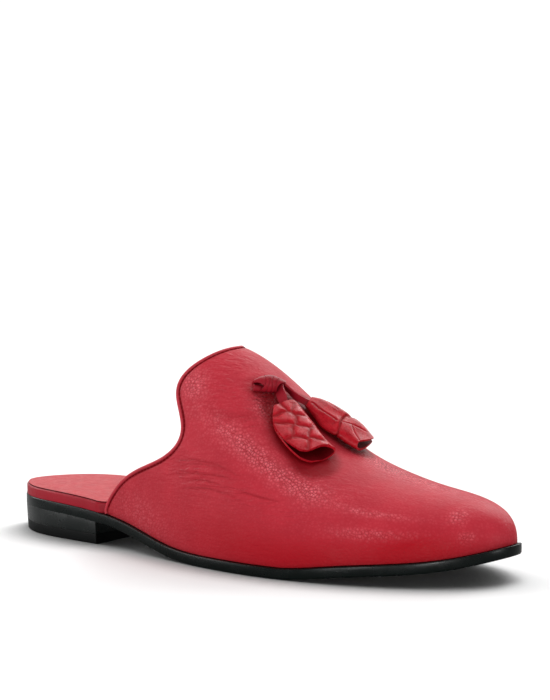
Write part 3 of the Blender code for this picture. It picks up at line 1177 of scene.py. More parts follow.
@dataclass
class Bottom:
    """Outsole, stacked heel and its top piece."""

    last: Last
    heel_length: float = 67.7 * MM
    heel_rows: int = 90
    heel_columns: int = 16
    heel_inset: float = 0.34 * MM
    heel_round: float = 0.12 * MM
    top_piece: float = 4.8 * MM
    top_piece_inset: float = 0.36 * MM
    top_piece_flare: float = 0.62 * MM
    top_piece_rounds: tuple[float, float] = (0.35 * MM, 0.22 * MM)
    heel_gaps: tuple[float, float] = (0.05 * MM, 0.03 * MM)
    upper_round: float = 0.45 * MM
    edge_round: float = 0.8 * MM
    round_start: float = 6 * MM
    least_round: float = 0.04 * MM

    def lower_round(self, x: Array) -> Array:
        """Radius of the outsole's lower edge, which is sharp over the heel block."""
        share = ease(x, self.heel_length, self.heel_length + self.round_start)
        return self.least_round + self.edge_round * share

    def outsole(self) -> None:
        """Thin sole with a rounded lower edge ahead of the heel."""
        last = self.last
        upper = (same(0), last.topside, same(self.upper_round))
        levels = side_levels((same(0), last.underside, self.lower_round), upper)
        made = Plate(last, levels).build("sole", SOLE_EDGE, SOLE_TREAD, slots=(1, 0))
        wear(made, Slot.SOLE, "outsole")

    def block_top(self, x: Array) -> Array:
        """Height of the heel block's upper face."""
        return self.last.underside(x) - self.heel_gaps[1]

    def heel(self) -> None:
        """Block flush with the sole's side, and the top piece under it."""
        grid = {"rows": self.heel_rows, "columns": self.heel_columns, "length": self.heel_length}
        low = same(self.top_piece + self.heel_gaps[0])
        upper = (same(0), self.block_top, same(self.least_round))
        levels = side_levels((same(self.heel_inset), low, same(self.heel_round)), upper)
        block = Plate(self.last, levels, **grid).build("heel_stack", HEEL_EDGE)
        wear(block, Slot.SOLE, "heel_block")
        lower_round, upper_round = map(same, self.top_piece_rounds)
        upper = (same(self.top_piece_inset), same(self.top_piece), upper_round)
        levels = side_levels((same(self.top_piece_flare), same(0), lower_round), upper)
        piece = Plate(self.last, levels, **grid).build("top_piece", TOP_PIECE)
        wear(piece, Slot.RUBBER, "heel_top_piece")


@dataclass
class Insole:
    """Wrapped board, and the thinner sock that lies on it."""

    last: Last
    thickness: float = 5.3 * MM
    front_thickness: float = 2.6 * MM
    tuck_start: float = 69.3 * MM
    tuck_end: float = 72.6 * MM
    tuck_gap: float = 0.45 * MM
    sole_gap: float = 0.03 * MM
    foot_round: float = 0.35 * MM
    shoulder: float = 0.9 * MM
    shoulder_steps: int = 6
    sock_inset: float = 0.75 * MM
    sock_thickness: float = 0.5 * MM
    sock_round: float = 0.1 * MM
    sock_columns: int = 30

    def inset(self, x: Array) -> Array:
        """Distance inside the sole's edge, more where the board tucks into the upper."""
        tucked = self.last.sole_proud + self.last.wall + self.tuck_gap
        return self.last.gap + (tucked - self.last.gap) * ease(x, self.tuck_start, self.tuck_end)

    def bottom(self, x: Array) -> Array:
        """Height of the board's lower face."""
        return self.last.topside(x) + self.sole_gap

    def sock_edge(self, x: Array) -> Array:
        """Inset of the sock's edge."""
        return self.inset(x) + self.sock_inset

    def top(self, x: Array) -> Array:
        """Height of the board's upper face, thinner towards the toe.

        Args:
            x: Distance ahead of the heel.

        Returns:
            Height above the floor.
        """
        thinning = ease(x, self.tuck_start, 2 * self.tuck_end)
        thickness = self.thickness + (self.front_thickness - self.thickness) * thinning
        return self.last.topside(x) + thickness - self.sock_thickness

    def sock_top(self, x: Array) -> Array:
        """Height of the sock's upper face."""
        return self.top(x) + self.sock_thickness

    def build(self) -> None:
        """Make the board and the sock."""
        lower = (self.inset, self.bottom, same(self.foot_round))
        upper = (self.inset, self.top, same(self.shoulder))
        levels = side_levels(lower, upper, self.shoulder_steps)
        board = Plate(self.last, levels).build("insole_wrap", BAND_LEATHER)
        wear(board, Slot.INSOLE, "insole")
        levels = [
            Level(self.sock_edge, lambda x: self.top(x) - self.sock_round),
            *rounded(self.sock_edge, self.sock_top, same(self.sock_round), upwards=True),
        ]
        sock = Plate(self.last, levels, columns=self.sock_columns)
        wear(sock.build("sock", SHADED_SOCK_EDGE, SOCK_LEATHER, slots=(1, 1)), Slot.INSOLE)


# ---------------------------------------------------------------- upper


class Wrinkle(NamedTuple):
    """Soft trough or ridge between two places (along, around) on the upper, in millimetres."""

    start: tuple[float, float]
    end: tuple[float, float]
    bow: float
    width: float
    depth: float


class Patch(NamedTuple):
    """Marked part of the leather: centre and reach along and around, and how strong it is."""

    along: float
    around: float
    reach_along: float
    reach_around: float
    strength: float


WRINKLE_REACH = 4

WRINKLES = (
    Wrinkle((0.485, -0.489), (0.583, -0.326), -0.050, 2.2, -0.26),
    Wrinkle((0.552, -0.468), (0.585, -0.317), -0.006, 0.45, -0.30),
    Wrinkle((0.528, -0.492), (0.577, -0.338), -0.006, 0.45, -0.30),
    Wrinkle((0.566, -0.458), (0.591, -0.364), -0.004, 0.40, -0.28),
    Wrinkle((0.444, -0.730), (0.583, -0.660), 0.012, 0.50, -0.38),
    Wrinkle((0.459, -0.737), (0.554, -0.677), 0.008, 0.45, -0.34),
    Wrinkle((0.474, -0.749), (0.571, -0.687), -0.006, 0.45, -0.36),
    Wrinkle((0.448, -0.776), (0.527, -0.729), 0.006, 0.45, -0.34),
    Wrinkle((0.470, -0.786), (0.560, -0.737), 0.010, 0.50, -0.38),
    Wrinkle((0.461, -0.815), (0.592, -0.750), 0.010, 0.50, -0.34),
    Wrinkle((0.584, -0.723), (0.669, -0.656), -0.004, 0.45, -0.36),
    Wrinkle((0.486, -0.215), (0.512, -0.245), 0.004, 0.40, -0.09),
    Wrinkle((0.489, -0.187), (0.519, -0.218), 0.004, 0.40, -0.09),
    Wrinkle((0.494, -0.150), (0.524, -0.186), 0.004, 0.40, -0.09),
    Wrinkle((0.498, -0.115), (0.527, -0.154), 0.004, 0.40, -0.09),
    Wrinkle((0.508, -0.080), (0.536, -0.100), 0.004, 0.40, -0.09),
)

# Where the pebbled grain stands out, which also sets where highlights are painted on it.
GRAIN_AND_HIGHLIGHTS = (
    Patch(0.600, -0.525, 0.090, 0.060, 1.2),
    Patch(0.700, -0.520, 0.045, 0.090, 0.8),
    Patch(0.576, -0.275, 0.020, 0.070, 1.2),
    Patch(0.445, -0.410, 0.028, 0.070, 0.9),
    Patch(0.360, -0.960, 0.080, 0.060, 0.4),
    Patch(0.815, -0.565, 0.060, 0.035, 0.7),
    Patch(0.830, -0.760, 0.060, 0.050, 0.9),
    Patch(0.938, -0.470, 0.012, 0.120, 0.8),
    Patch(0.957, -0.780, 0.010, 0.090, 0.8),
    Patch(0.760, 0.020, 0.040, 0.080, 1.2),
    Patch(0.840, 0.020, 0.070, 0.080, 0.7),
)

# Painted shade low on the outer side of the forefoot, where the colour is made darker and purer.
LOW_SHADES = (
    Patch(0.600, -0.950, 0.120, 0.120, 0.6),
    Patch(0.760, -0.960, 0.110, 0.150, 0.8),
    Patch(0.900, -0.930, 0.070, 0.200, 1.0),
)

FOLDS = (
    Patch(0.490, -0.740, 0.100, 0.080, 1.0),
    Patch(0.640, -0.690, 0.090, 0.080, 0.8),
    Patch(0.500, -0.420, 0.050, 0.140, 0.8),
    Patch(0.570, -0.340, 0.040, 0.140, 0.8),
    Patch(0.470, -0.180, 0.050, 0.160, 0.6),
    Patch(0.720, -0.480, 0.050, 0.200, 0.5),
)


@dataclass
class Upper:
    """Vamp and tongue in one piece of leather, its lining and its bound edge."""

    last: Last
    rows: int = 230
    columns: int = 260
    lining_rows: int = 90
    lining_columns: int = 110
    edge_start: float = 0.9 * MM
    sole_gap: float = 0.05 * MM
    binding_half_width: float = 0.9 * MM
    binding_half_depth: float = 1.5 * MM
    binding_fullness: float = 2.7
    binding_rows: int = 420
    binding_sides: int = 24
    seam_depth: float = 0.5 * MM
    seam_width: float = 0.5 * MM
    seam_at: float = 2.05 * MM
    seam_dark: float = 0.85
    base_grain: float = 0.1
    base_fold: float = 0.12
    most_marked: float = 1.6
    foot_shade: float = 0.2
    foot_band: tuple[float, float] = (0.74, 0.99)
    wrinkle_shade: float = 0.9
    wrinkle_steps: int = 24
    leaf_shade: float = 0.8
    outer_shade: tuple[float, float] = (8.5 * MM, 13.5 * MM)
    inner_shade: tuple[float, float] = (4.5 * MM, 7.5 * MM)
    stitch_pitch: float = 2.3 * MM
    stitch_length: float = 1.8 * MM
    stitch_width: float = 0.5 * MM
    stitch_depth: float = 0.1 * MM
    stitch_end: float = 0.985
    stitch_rings: int = 6
    stitch_sides: int = 8
    seam_samples: int = 4000

    def grid(self, rows: int, columns: int) -> tuple[Array, Array]:
        """Grid from the topline to the toe.

        Args:
            rows: Steps from the topline to the toe.
            columns: Steps from the outer side to the inner one.

        Returns:
            Runs and ways around.
        """
        around = np.linspace(-1, 1, columns + 1)[None, :]
        first = self.last.inside(around, self.edge_start)
        run = first + (1 - first) * np.linspace(0, 1, rows + 1)[:, None]
        return run, np.broadcast_to(around, run.shape)

    def relief(self, points: Array, run: Array, around: Array) -> tuple[Array, Array]:
        """Wrinkles and seam, with painted shade in the wrinkles, along the sole and around the
        tassel leaves.

        Args:
            points: Points on the upper's outer face.
            run: Their runs.
            around: Their ways around.

        Returns:
            How high they stand off the face, and how dark they are.
        """
        topline = self.last.topline(around)
        distance = (run - topline) / (self.last.inside(around, MM) - topline) * MM
        seam = np.exp(-(((distance - self.seam_at) / self.seam_width) ** 2))
        height = -self.seam_depth * seam
        # Painted shade in a band low on the upper, along the sole.
        painted_shade = self.foot_shade * ease(np.abs(around), *self.foot_band)
        dark = np.maximum(self.seam_dark * seam, painted_shade)
        for wrinkle in WRINKLES:
            shape = self.wrinkle(points, wrinkle)
            height = height + wrinkle.depth * MM * shape
            # Painted shade in the wrinkle's trough.
            dark = np.maximum(dark, -self.wrinkle_shade * wrinkle.depth * shape)
        # Painted shadow of the tassel leaves on the vamp around where they rest.
        for seats, reach in ((OUTER_SEATS, self.outer_shade), (INNER_SEATS, self.inner_shade)):
            ends = [self.last.seat(seat.along, seat.around)[0] for seat in seats]
            gap, _ = line_gap(points, *ends)
            dark = np.maximum(dark, self.leaf_shade * (1 - ease(gap, *reach)))
        return height, dark

    def wrinkle(self, points: Array, wrinkle: Wrinkle) -> Array:
        """Shape of one wrinkle, which fades towards its ends.

        Args:
            points: Points on the upper's outer face.
            wrinkle: Row of the table of wrinkles.

        Returns:
            Share of its depth at each point.
        """
        steps = self.wrinkle_steps
        share = np.linspace(0, 1, steps + 1)
        along, around = [
            start + (end - start) * share for start, end in zip(wrinkle.start, wrinkle.end)
        ]
        around = around + wrinkle.bow * np.sin(pi * share)
        path = self.last.upper(self.last.run_at(along), around)
        width = wrinkle.width * MM
        reach = WRINKLE_REACH * width
        near = np.all((points > path.min(0) - reach) & (points < path.max(0) + reach), -1)
        found = [line_gap(points[near], *ends) for ends in zip(path[:-1], path[1:])]
        gaps, places = np.stack(found, 1)
        nearest = np.argmin(gaps, 0)[None]
        gap, place = [np.take_along_axis(values, nearest, 0)[0] for values in (gaps, places)]
        fade = np.sin(pi * (nearest[0] + place) / steps)
        shape = np.zeros(points.shape[:-1])
        shape[near] = np.exp(-((gap / width) ** 2)) * np.sqrt(np.clip(fade, 0, 1))
        return shape

    def marked(self, run: Array, around: Array, patches: Sequence[Patch], least: float) -> Array:
        """How strongly the surface is marked at each place.

        Args:
            run: Run of each place.
            around: Way around the upper of each place.
            patches: Where the mark is strong.
            least: Strength of the mark everywhere else.

        Returns:
            Strength at each place.
        """
        along = self.last.ahead(run) / self.last.length
        strength = np.full(run.shape, least)
        for patch in patches:
            reach = ((along - patch.along) / patch.reach_along) ** 2
            reach = reach + ((around - patch.around) / patch.reach_around) ** 2
            strength = strength + patch.strength * np.exp(-reach)
        return np.clip(strength, 0, self.most_marked)

    def above_sole(self, points: Array) -> None:
        """Lift points that would reach into the sole."""
        low = self.last.topside(points[..., 0] - self.last.shift[0]) + self.sole_gap
        points[..., 2] = np.maximum(points[..., 2], low)

    def vamp(self) -> None:
        """Outer leather and lining in one closed wall."""
        last = self.last
        run, around = self.grid(self.rows, self.columns)
        points = last.upper(run, around)
        height, dark = self.relief(points, run, around)
        marks = {
            "grain": self.marked(run, around, GRAIN_AND_HIGHLIGHTS, self.base_grain),
            "fold": self.marked(run, around, FOLDS, self.base_fold),
            "dye": np.minimum(self.marked(run, around, LOW_SHADES, 0.0), 1),
            "shade": dark,
        }
        skin = Skin()
        outer = skin.sheet(points + last.normal(run, around) * height[..., None], **marks)
        run, around = self.grid(self.lining_rows, self.lining_columns)
        points = last.upper(run, around) - last.normal(run, around) * last.wall
        self.above_sole(points)
        inner = skin.sheet(points, flip=True, slot=1)
        skin.strip(outer[0], inner[0], flip=True)
        skin.strip(outer[:, 0], inner[:, 0])
        skin.strip(outer[:, -1], inner[:, -1], flip=True)
        skin.strip(outer[-1], inner[-1])
        wear(skin.piece("vamp", (UPPER_LEATHER, LINING_LEATHER)), Slot.GRAINED, "upper")

    def binding(self) -> None:
        """Strip of leather folded over the opening's edge."""
        last = self.last
        around = np.linspace(-1, 1, self.binding_rows + 1)
        run = last.inside(around, self.binding_half_width)
        normal = last.normal(run, around)
        centre = last.upper(run, around) - normal * last.wall / 2
        tangent = unit(np.gradient(centre, axis=0))
        inward = unit(np.cross(normal, tangent))
        outward = unit(np.cross(tangent, inward))
        turns = np.linspace(0, 2 * pi, self.binding_sides + 1)
        grid = centre[:, None]
        for size, wave, way in (
            (self.binding_half_width, np.cos(turns), inward),
            (self.binding_half_depth, np.sin(turns), outward),
        ):
            reach = size * np.sign(wave) * np.abs(wave) ** (2 / self.binding_fullness)
            grid = grid + way[:, None] * reach[None, :, None]
        self.above_sole(grid)
        skin = Skin()
        ids = skin.sheet(grid, flip=True)
        for end in (0, -1):
            middle = skin.add(grid[end, :-1].mean(0)[None])
            skin.strip(ids[end], middle, flip=end == -1)
        wear(skin.piece("binding", (BINDING_LEATHER,)), Slot.SMOOTH, "topline_binding")

    def stitches(self) -> None:
        """Dark thread along the seam beside the binding."""
        last = self.last
        around = np.linspace(-self.stitch_end, self.stitch_end, self.seam_samples)
        line = last.upper(last.inside(around, self.seam_at), around)
        length = np.concatenate([[0], np.cumsum(np.linalg.norm(np.diff(line, axis=0), axis=1))])
        count = int(length[-1] / self.stitch_pitch)
        middles = np.interp((np.arange(count) + 0.5) * self.stitch_pitch, length, around)
        turn = np.linspace(-pi / 2, pi / 2, self.stitch_rings + 1)[:, None, None]
        way = np.linspace(0, 2 * pi, self.stitch_sides + 1)[None, :, None]
        skin = Skin()
        for middle in middles:
            ways = np.array([middle, middle + 2 * SMALL_STEP])
            run = last.inside(ways, self.seam_at)
            ends = last.upper(run, ways)
            along = unit(ends[1] - ends[0])
            off = last.normal(run[0], middle)
            reach = np.sin(turn) * self.stitch_length / 2 * along
            size = np.cos(turn) ** 0.5 * self.stitch_width / 2
            ring = np.cos(way) * np.cross(off, along) + np.sin(way) * off
            skin.sheet(ends[0] - off * self.stitch_depth + reach + size * ring)
        wear(skin.piece("stitching", (THREAD,)), Slot.SMOOTH)


# ---------------------------------------------------------------- tassels


class Seat(NamedTuple):
    """Place on the upper: along, around, and how far off it."""

    along: float
    around: float
    lift: float


class Strand(NamedTuple):
    """Line down a sheet of leather: places in millimetres down it, across it and off it."""

    name: str
    down: tuple[float, ...]
    across: tuple[float, ...]
    off: tuple[float, ...]


class Crease(NamedTuple):
    """Pressed line on a leaf: its places down and across, its width and its depth."""

    places: tuple[tuple[float, float], ...]
    width: float
    depth: float


class Wave(NamedTuple):
    """Gentle push of a pattern: how far, its radians for each millimetre, and where it starts."""

    reach: float
    rate: float
    start: float = 0.0

    def push(self, place: Array) -> Array:
        """Push at each place."""
        return self.reach * np.sin(self.rate * place + self.start)


SWAY_DOWN, QUIVER_DOWN = Wave(0.3, 1.1, 0.6), Wave(0.08, 3.1)
SWAY_ACROSS, QUIVER_ACROSS = Wave(0.3, 0.9), Wave(0.08, 2.7, 1.0)

KNOT_SEATS = (Seat(0.551, -0.240, 0), Seat(0.576, -0.118, 0))
OUTER_SEATS = (Seat(0.597, -0.186, 0.0020), Seat(0.683, -0.308, 0.0040))
INNER_SEATS = (Seat(0.607, -0.025, 0.0021), Seat(0.707, 0.020, 0.0040))

OUTER_LEAF = (
    Strand("flap edge", (1.2, 8.3, 15.4, 22.6, 28.8), (-6.4, -10.2, -11.1, -9.8, -7.0),
        (0.5, -0.1, -0.4, 0.0, 0.6)),
    Strand("flap", (0.9, 7.8, 15.2, 22.8, 30.3), (-3.6, -5.5, -6.0, -5.5, -3.9),
        (1.4, 1.1, 1.1, 1.3, 1.2)),
    Strand("crest", (0.4, 7.4, 15.0, 22.8, 29.4), (0.2, 0.0, 0.0, 0.4, 1.4),
        (1.7, 1.8, 1.8, 1.8, 1.5)),
    Strand("above the fold", (0.5, 7.6, 15.3, 23.0, 29.8), (3.7, 4.2, 4.9, 5.6, 6.6),
        (1.1, 1.2, 1.3, 1.5, 1.4)),
    Strand("fold", (1.4, 8.6, 16.0, 24.0, 31.0), (5.3, 6.1, 6.8, 7.4, 9.6),
        (-0.2, -0.3, -0.3, -0.5, -0.7)),
    Strand("under the fold", (1.4, 8.2, 15.8, 24.0, 32.3), (3.9, 4.8, 5.4, 6.0, 6.6),
        (-1.1, -1.8, -2.1, -2.4, -2.6)),
    Strand("floor", (1.0, 8.0, 16.0, 24.5, 33.3), (-1.0, -1.0, -1.0, -0.6, 0.4),
        (-1.1, -1.9, -2.4, -2.7, -2.9)),
    Strand("floor side", (1.4, 8.5, 16.3, 24.6, 32.6), (-5.0, -6.8, -7.4, -6.3, -4.1),
        (-1.1, -1.8, -2.3, -2.7, -2.8)),
    Strand("floor edge", (2.0, 9.2, 16.6, 24.6, 30.3), (-6.9, -9.9, -10.3, -8.8, -6.7),
        (-1.1, -1.7, -2.2, -2.6, -2.7)),
)

OUTER_SCALES = (
    (3.0, -5.2), (2.6, -1.0), (6.6, 3.0), (9.6, -4.6), (13.4, 2.4), (16.2, -8.2), (19.6, -2.4),
    (22.4, 4.6), (25.6, -6.0), (28.4, 1.0),
)

INNER_LEAF = (
    Strand("lip", (0.6, 4.0, 9.0, 14.0, 18.0, 22.0, 27.0, 32.4),
        (2.6, 5.2, 6.6, 7.6, 7.9, 8.0, 7.6, 6.2), (0.4, 0.9, 1.4, 1.5, 1.7, 2.1, 1.8, 1.5)),
    Strand("crest", (0.4, 3.8, 8.8, 14.0, 18.0, 22.0, 26.8, 32.6),
        (0.2, 2.0, 3.4, 4.7, 5.8, 5.9, 6.0, 5.0), (1.9, 2.9, 3.6, 3.7, 3.4, 3.4, 2.8, 1.6)),
    Strand("plane", (0.8, 4.1, 9.0, 14.2, 18.1, 22.0, 26.8, 32.2),
        (-1.6, -1.0, -0.4, 0.8, 1.2, 1.8, 2.0, 1.4), (1.8, 2.4, 2.9, 3.0, 2.6, 2.8, 2.2, 1.4)),
    Strand("shoulder", (1.2, 4.4, 8.8, 14.0, 18.2, 21.8, 26.5, 30.9),
        (-3.2, -3.8, -3.9, -3.1, -2.9, -2.5, -2.1, -3.1), (1.2, 1.4, 1.6, 2.0, 1.8, 1.9, 1.4, 0.9)),
    Strand("ridge", (1.6, 4.8, 9.3, 14.5, 18.6, 21.9, 26.7, 30.9),
        (-4.2, -5.3, -5.3, -4.3, -5.1, -5.6, -4.9, -4.7), (0.2, 0.0, 0.6, 1.0, 0.3, 0.4, 0.4, 0.2)),
    Strand("fold", (1.4, 4.6, 9.5, 14.5, 18.5, 22.0, 26.5, 31.9),
        (-4.2, -4.9, -6.2, -7.2, -7.2, -6.6, -6.0, -4.9),
        (-0.8, -1.3, -1.7, -1.8, -1.8, -1.8, -1.8, -1.6)),
    Strand("floor", (1.0, 4.5, 9.5, 14.5, 18.5, 22.0, 27.0, 33.3),
        (-1.0, -0.6, -0.4, -0.2, 0.0, 0.4, 0.6, 0.6),
        (-1.0, -1.7, -2.3, -2.4, -2.4, -2.3, -2.1, -1.7)),
    Strand("floor edge", (0.8, 4.4, 9.2, 14.2, 18.2, 22.3, 27.0, 32.0),
        (2.4, 4.8, 6.4, 7.4, 7.8, 8.0, 8.3, 8.2), (-1.0, -1.5, -1.9, -2.0, -2.0, -1.9, -1.6, -1.2)),
)

INNER_CREASES = (
    Crease(((16.9, 4.0), (17.5, 0.5), (18.3, -2.4), (19.6, -4.0), (21.5, -7.0)), 0.45, 0.6),
    Crease(((18.0, 4.4), (19.0, 6.8)), 1.3, 0.6),
    Crease(((18.8, -1.5), (23.0, 1.5), (28.5, 4.6)), 0.4, 0.25),
    Crease(((22.8, 0.4), (26.0, -1.6), (30.5, -3.4)), 0.4, 0.25),
    Crease(((3.0, -3.2), (7.0, -3.9), (12.0, -3.5), (16.5, -2.9)), 0.45, 0.4),
    Crease(((4.0, 3.8), (8.0, 2.0), (13.0, 2.4)), 0.4, 0.18),
)

COLLAR = (
    Strand("front foot", (-4.4, -2.0, 0.4, 2.6), (-2.0, -2.3, -2.3, -2.2),
        (-2.6, -2.7, -2.7, -2.5)),
    Strand("front low", (-4.5, -2.2, 0.0, 2.1), (-3.2, -3.4, -3.4, -3.2), (-0.5, -0.5, -0.5, -0.4)),
    Strand("front", (-3.8, -1.8, 0.2, 2.0), (-3.0, -3.1, -3.1, -2.8), (1.5, 1.6, 1.6, 1.5)),
    Strand("front high", (-3.2, -0.6, 1.6, 3.4), (-1.6, -1.8, -1.9, -2.0), (2.7, 2.9, 2.8, 2.7)),
    Strand("top", (-3.2, 0.0, 3.0, 5.5), (0.2, 0.3, -0.4, -1.2), (3.2, 3.4, 3.1, 2.6)),
    Strand("back high", (-3.0, 0.3, 3.4, 6.3), (2.2, 2.5, 1.6, 0.2), (2.3, 2.4, 2.1, 1.7)),
    Strand("back", (-3.0, 0.3, 3.5, 6.2), (3.2, 3.5, 2.8, 1.6), (0.0, 0.0, -0.1, -0.4)),
    Strand("back foot", (-3.0, 0.3, 3.4, 5.6), (2.2, 2.4, 1.9, 1.1), (-2.6, -2.7, -2.6, -2.6)),
)

COLLAR_CREASES = (
    Crease(((-0.2, -3.4), (-0.6, -1.4), (0.2, 0.6)), 0.3, 0.3),
    Crease(((-2.4, -3.6), (-1.8, -2.2), (-1.5, -0.4)), 0.28, 0.25),
    Crease(((1.3, -3.4), (1.4, -2.0), (2.4, -0.2)), 0.3, 0.25),
)

HOOD = (
    Strand("back foot", (-7.6, -6.0, -4.0, -2.5), (1.4, 2.1, 2.8, 3.0), (-2.9, -3.0, -3.0, -3.0)),
    Strand("back", (-7.9, -6.2, -4.0, -2.5), (0.8, 1.8, 2.9, 3.1), (-0.5, -0.2, 0.0, 0.0)),
    Strand("back high", (-8.1, -6.2, -4.0, -2.5), (-0.6, 0.8, 2.0, 2.2), (1.6, 1.8, 1.9, 2.0)),
    Strand("top", (-8.2, -6.3, -4.2, -2.5), (-1.1, -0.2, 0.2, 0.0), (1.8, 2.5, 2.9, 3.0)),
    Strand("edge", (-8.3, -6.2, -4.6, -3.0), (-1.5, -1.6, -2.6, -3.0), (1.8, 1.9, 1.8, 0.9)),
)

CURL = (
    Strand("end", (-7.6, -5.0, -3.0), (-1.0, -1.0, -1.0), (-1.6, -1.6, -1.6)),
    Strand("inside", (-7.7, -5.0, -3.0), (-1.7, -1.7, -1.7), (-2.2, -2.2, -2.2)),
    Strand("inside back", (-7.7, -5.0, -3.0), (-0.3, -0.3, -0.3), (-2.3, -2.3, -2.3)),
    Strand("top", (-7.7, -5.0, -3.0), (-1.0, -1.0, -1.0), (-0.5, -0.6, -0.8)),
    Strand("front", (-7.8, -5.0, -3.0), (-2.5, -2.5, -2.4), (-1.6, -1.7, -1.7)),
    Strand("foot", (-7.6, -5.0, -3.0), (-1.4, -1.4, -1.4), (-3.0, -3.1, -3.1)),
    Strand("back foot", (-7.4, -5.0, -3.0), (0.6, 0.6, 0.6), (-3.0, -3.1, -3.1)),
)

OUTER_THONG = (
    Strand("top", (4.3, 4.7, 5.5, 6.0, 6.4), (0.0, -2.6, -6.4, -9.3, -12.5),
        (1.5, 1.5, 1.1, -0.2, -1.2)),
    Strand("foot", (3.2, 2.9, 2.7, 3.2, 3.8), (0.0, -2.5, -5.3, -8.6, -12.5),
        (-2.3, -2.4, -2.5, -2.7, -2.9)),
)

INNER_THONG = (
    Strand("top", (5.8, 6.6, 10.9, 15.5, 18.6), (0.0, -1.2, -4.2, -5.6, -6.6),
        (1.3, 1.3, 0.0, -1.6, -2.3)),
    Strand("foot", (7.0, 8.2, 10.7, 14.3, 16.8), (-0.6, -0.8, -4.1, -6.3, -7.9),
        (-2.6, -2.8, -3.6, -4.2, -4.7)),
)


@dataclass
class Setting:
    """Where a small part sits: its origin, and its directions down, across and off the upper."""

    origin: Array
    axes: Array

    @classmethod
    def facing(cls, origin: Array, down: Array, off: Array) -> "Setting":
        """Setting whose first direction is down and whose last is nearly off.

        Args:
            origin: Origin of the part.
            down: Direction of its length.
            off: Rough direction out of the upper.

        Returns:
            The setting.
        """
        first = unit(down)
        last = unit(off - first * (first @ off))
        return cls(origin, np.stack([first, np.cross(last, first), last]))

    def place(self, local: Array) -> Array:
        """Places in the frame, from places in millimetres."""
        return self.origin + local @ self.axes * MM


def weights(places: Array, axis: int, steps: int) -> Array:
    """Share of each line of a net at even steps across them, by a natural spline.

    Args:
        places: Net of places.
        axis: Axis of the net to step along.
        steps: Number of steps.

    Returns:
        A row of shares for each step.
    """
    chords = np.linalg.norm(np.diff(places, axis=axis), axis=-1).mean(1 - axis)
    knots = np.concatenate([[0], np.cumsum(chords)]) / chords.sum()
    at = np.linspace(0, 1, steps + 1)
    if len(knots) == 2:
        return np.stack([1 - at, at], -1)
    return np.stack([natural_spline(knots, row)(at) for row in np.eye(len(knots))], -1)


def net(strands: Sequence[Strand], rows: int, columns: int) -> Array:
    """Smooth grid through strands, rows running down and columns across.

    Args:
        strands: Lines with as many places each.
        rows: Steps down the grid.
        columns: Steps across the grid.

    Returns:
        Places in millimetres.
    """
    places = np.array([[row.down, row.across, row.off] for row in strands]).transpose(0, 2, 1)
    down, across = weights(places, 1, rows), weights(places, 0, columns)
    return np.einsum("rs,cj,jsk->rck", down, across, places)


def outline_of(grid: Array) -> Array:
    """All round the border of a grid, back to its first corner."""
    return np.concatenate([grid[0], grid[1:, -1], grid[-1, -2::-1], grid[-2::-1, 0]])


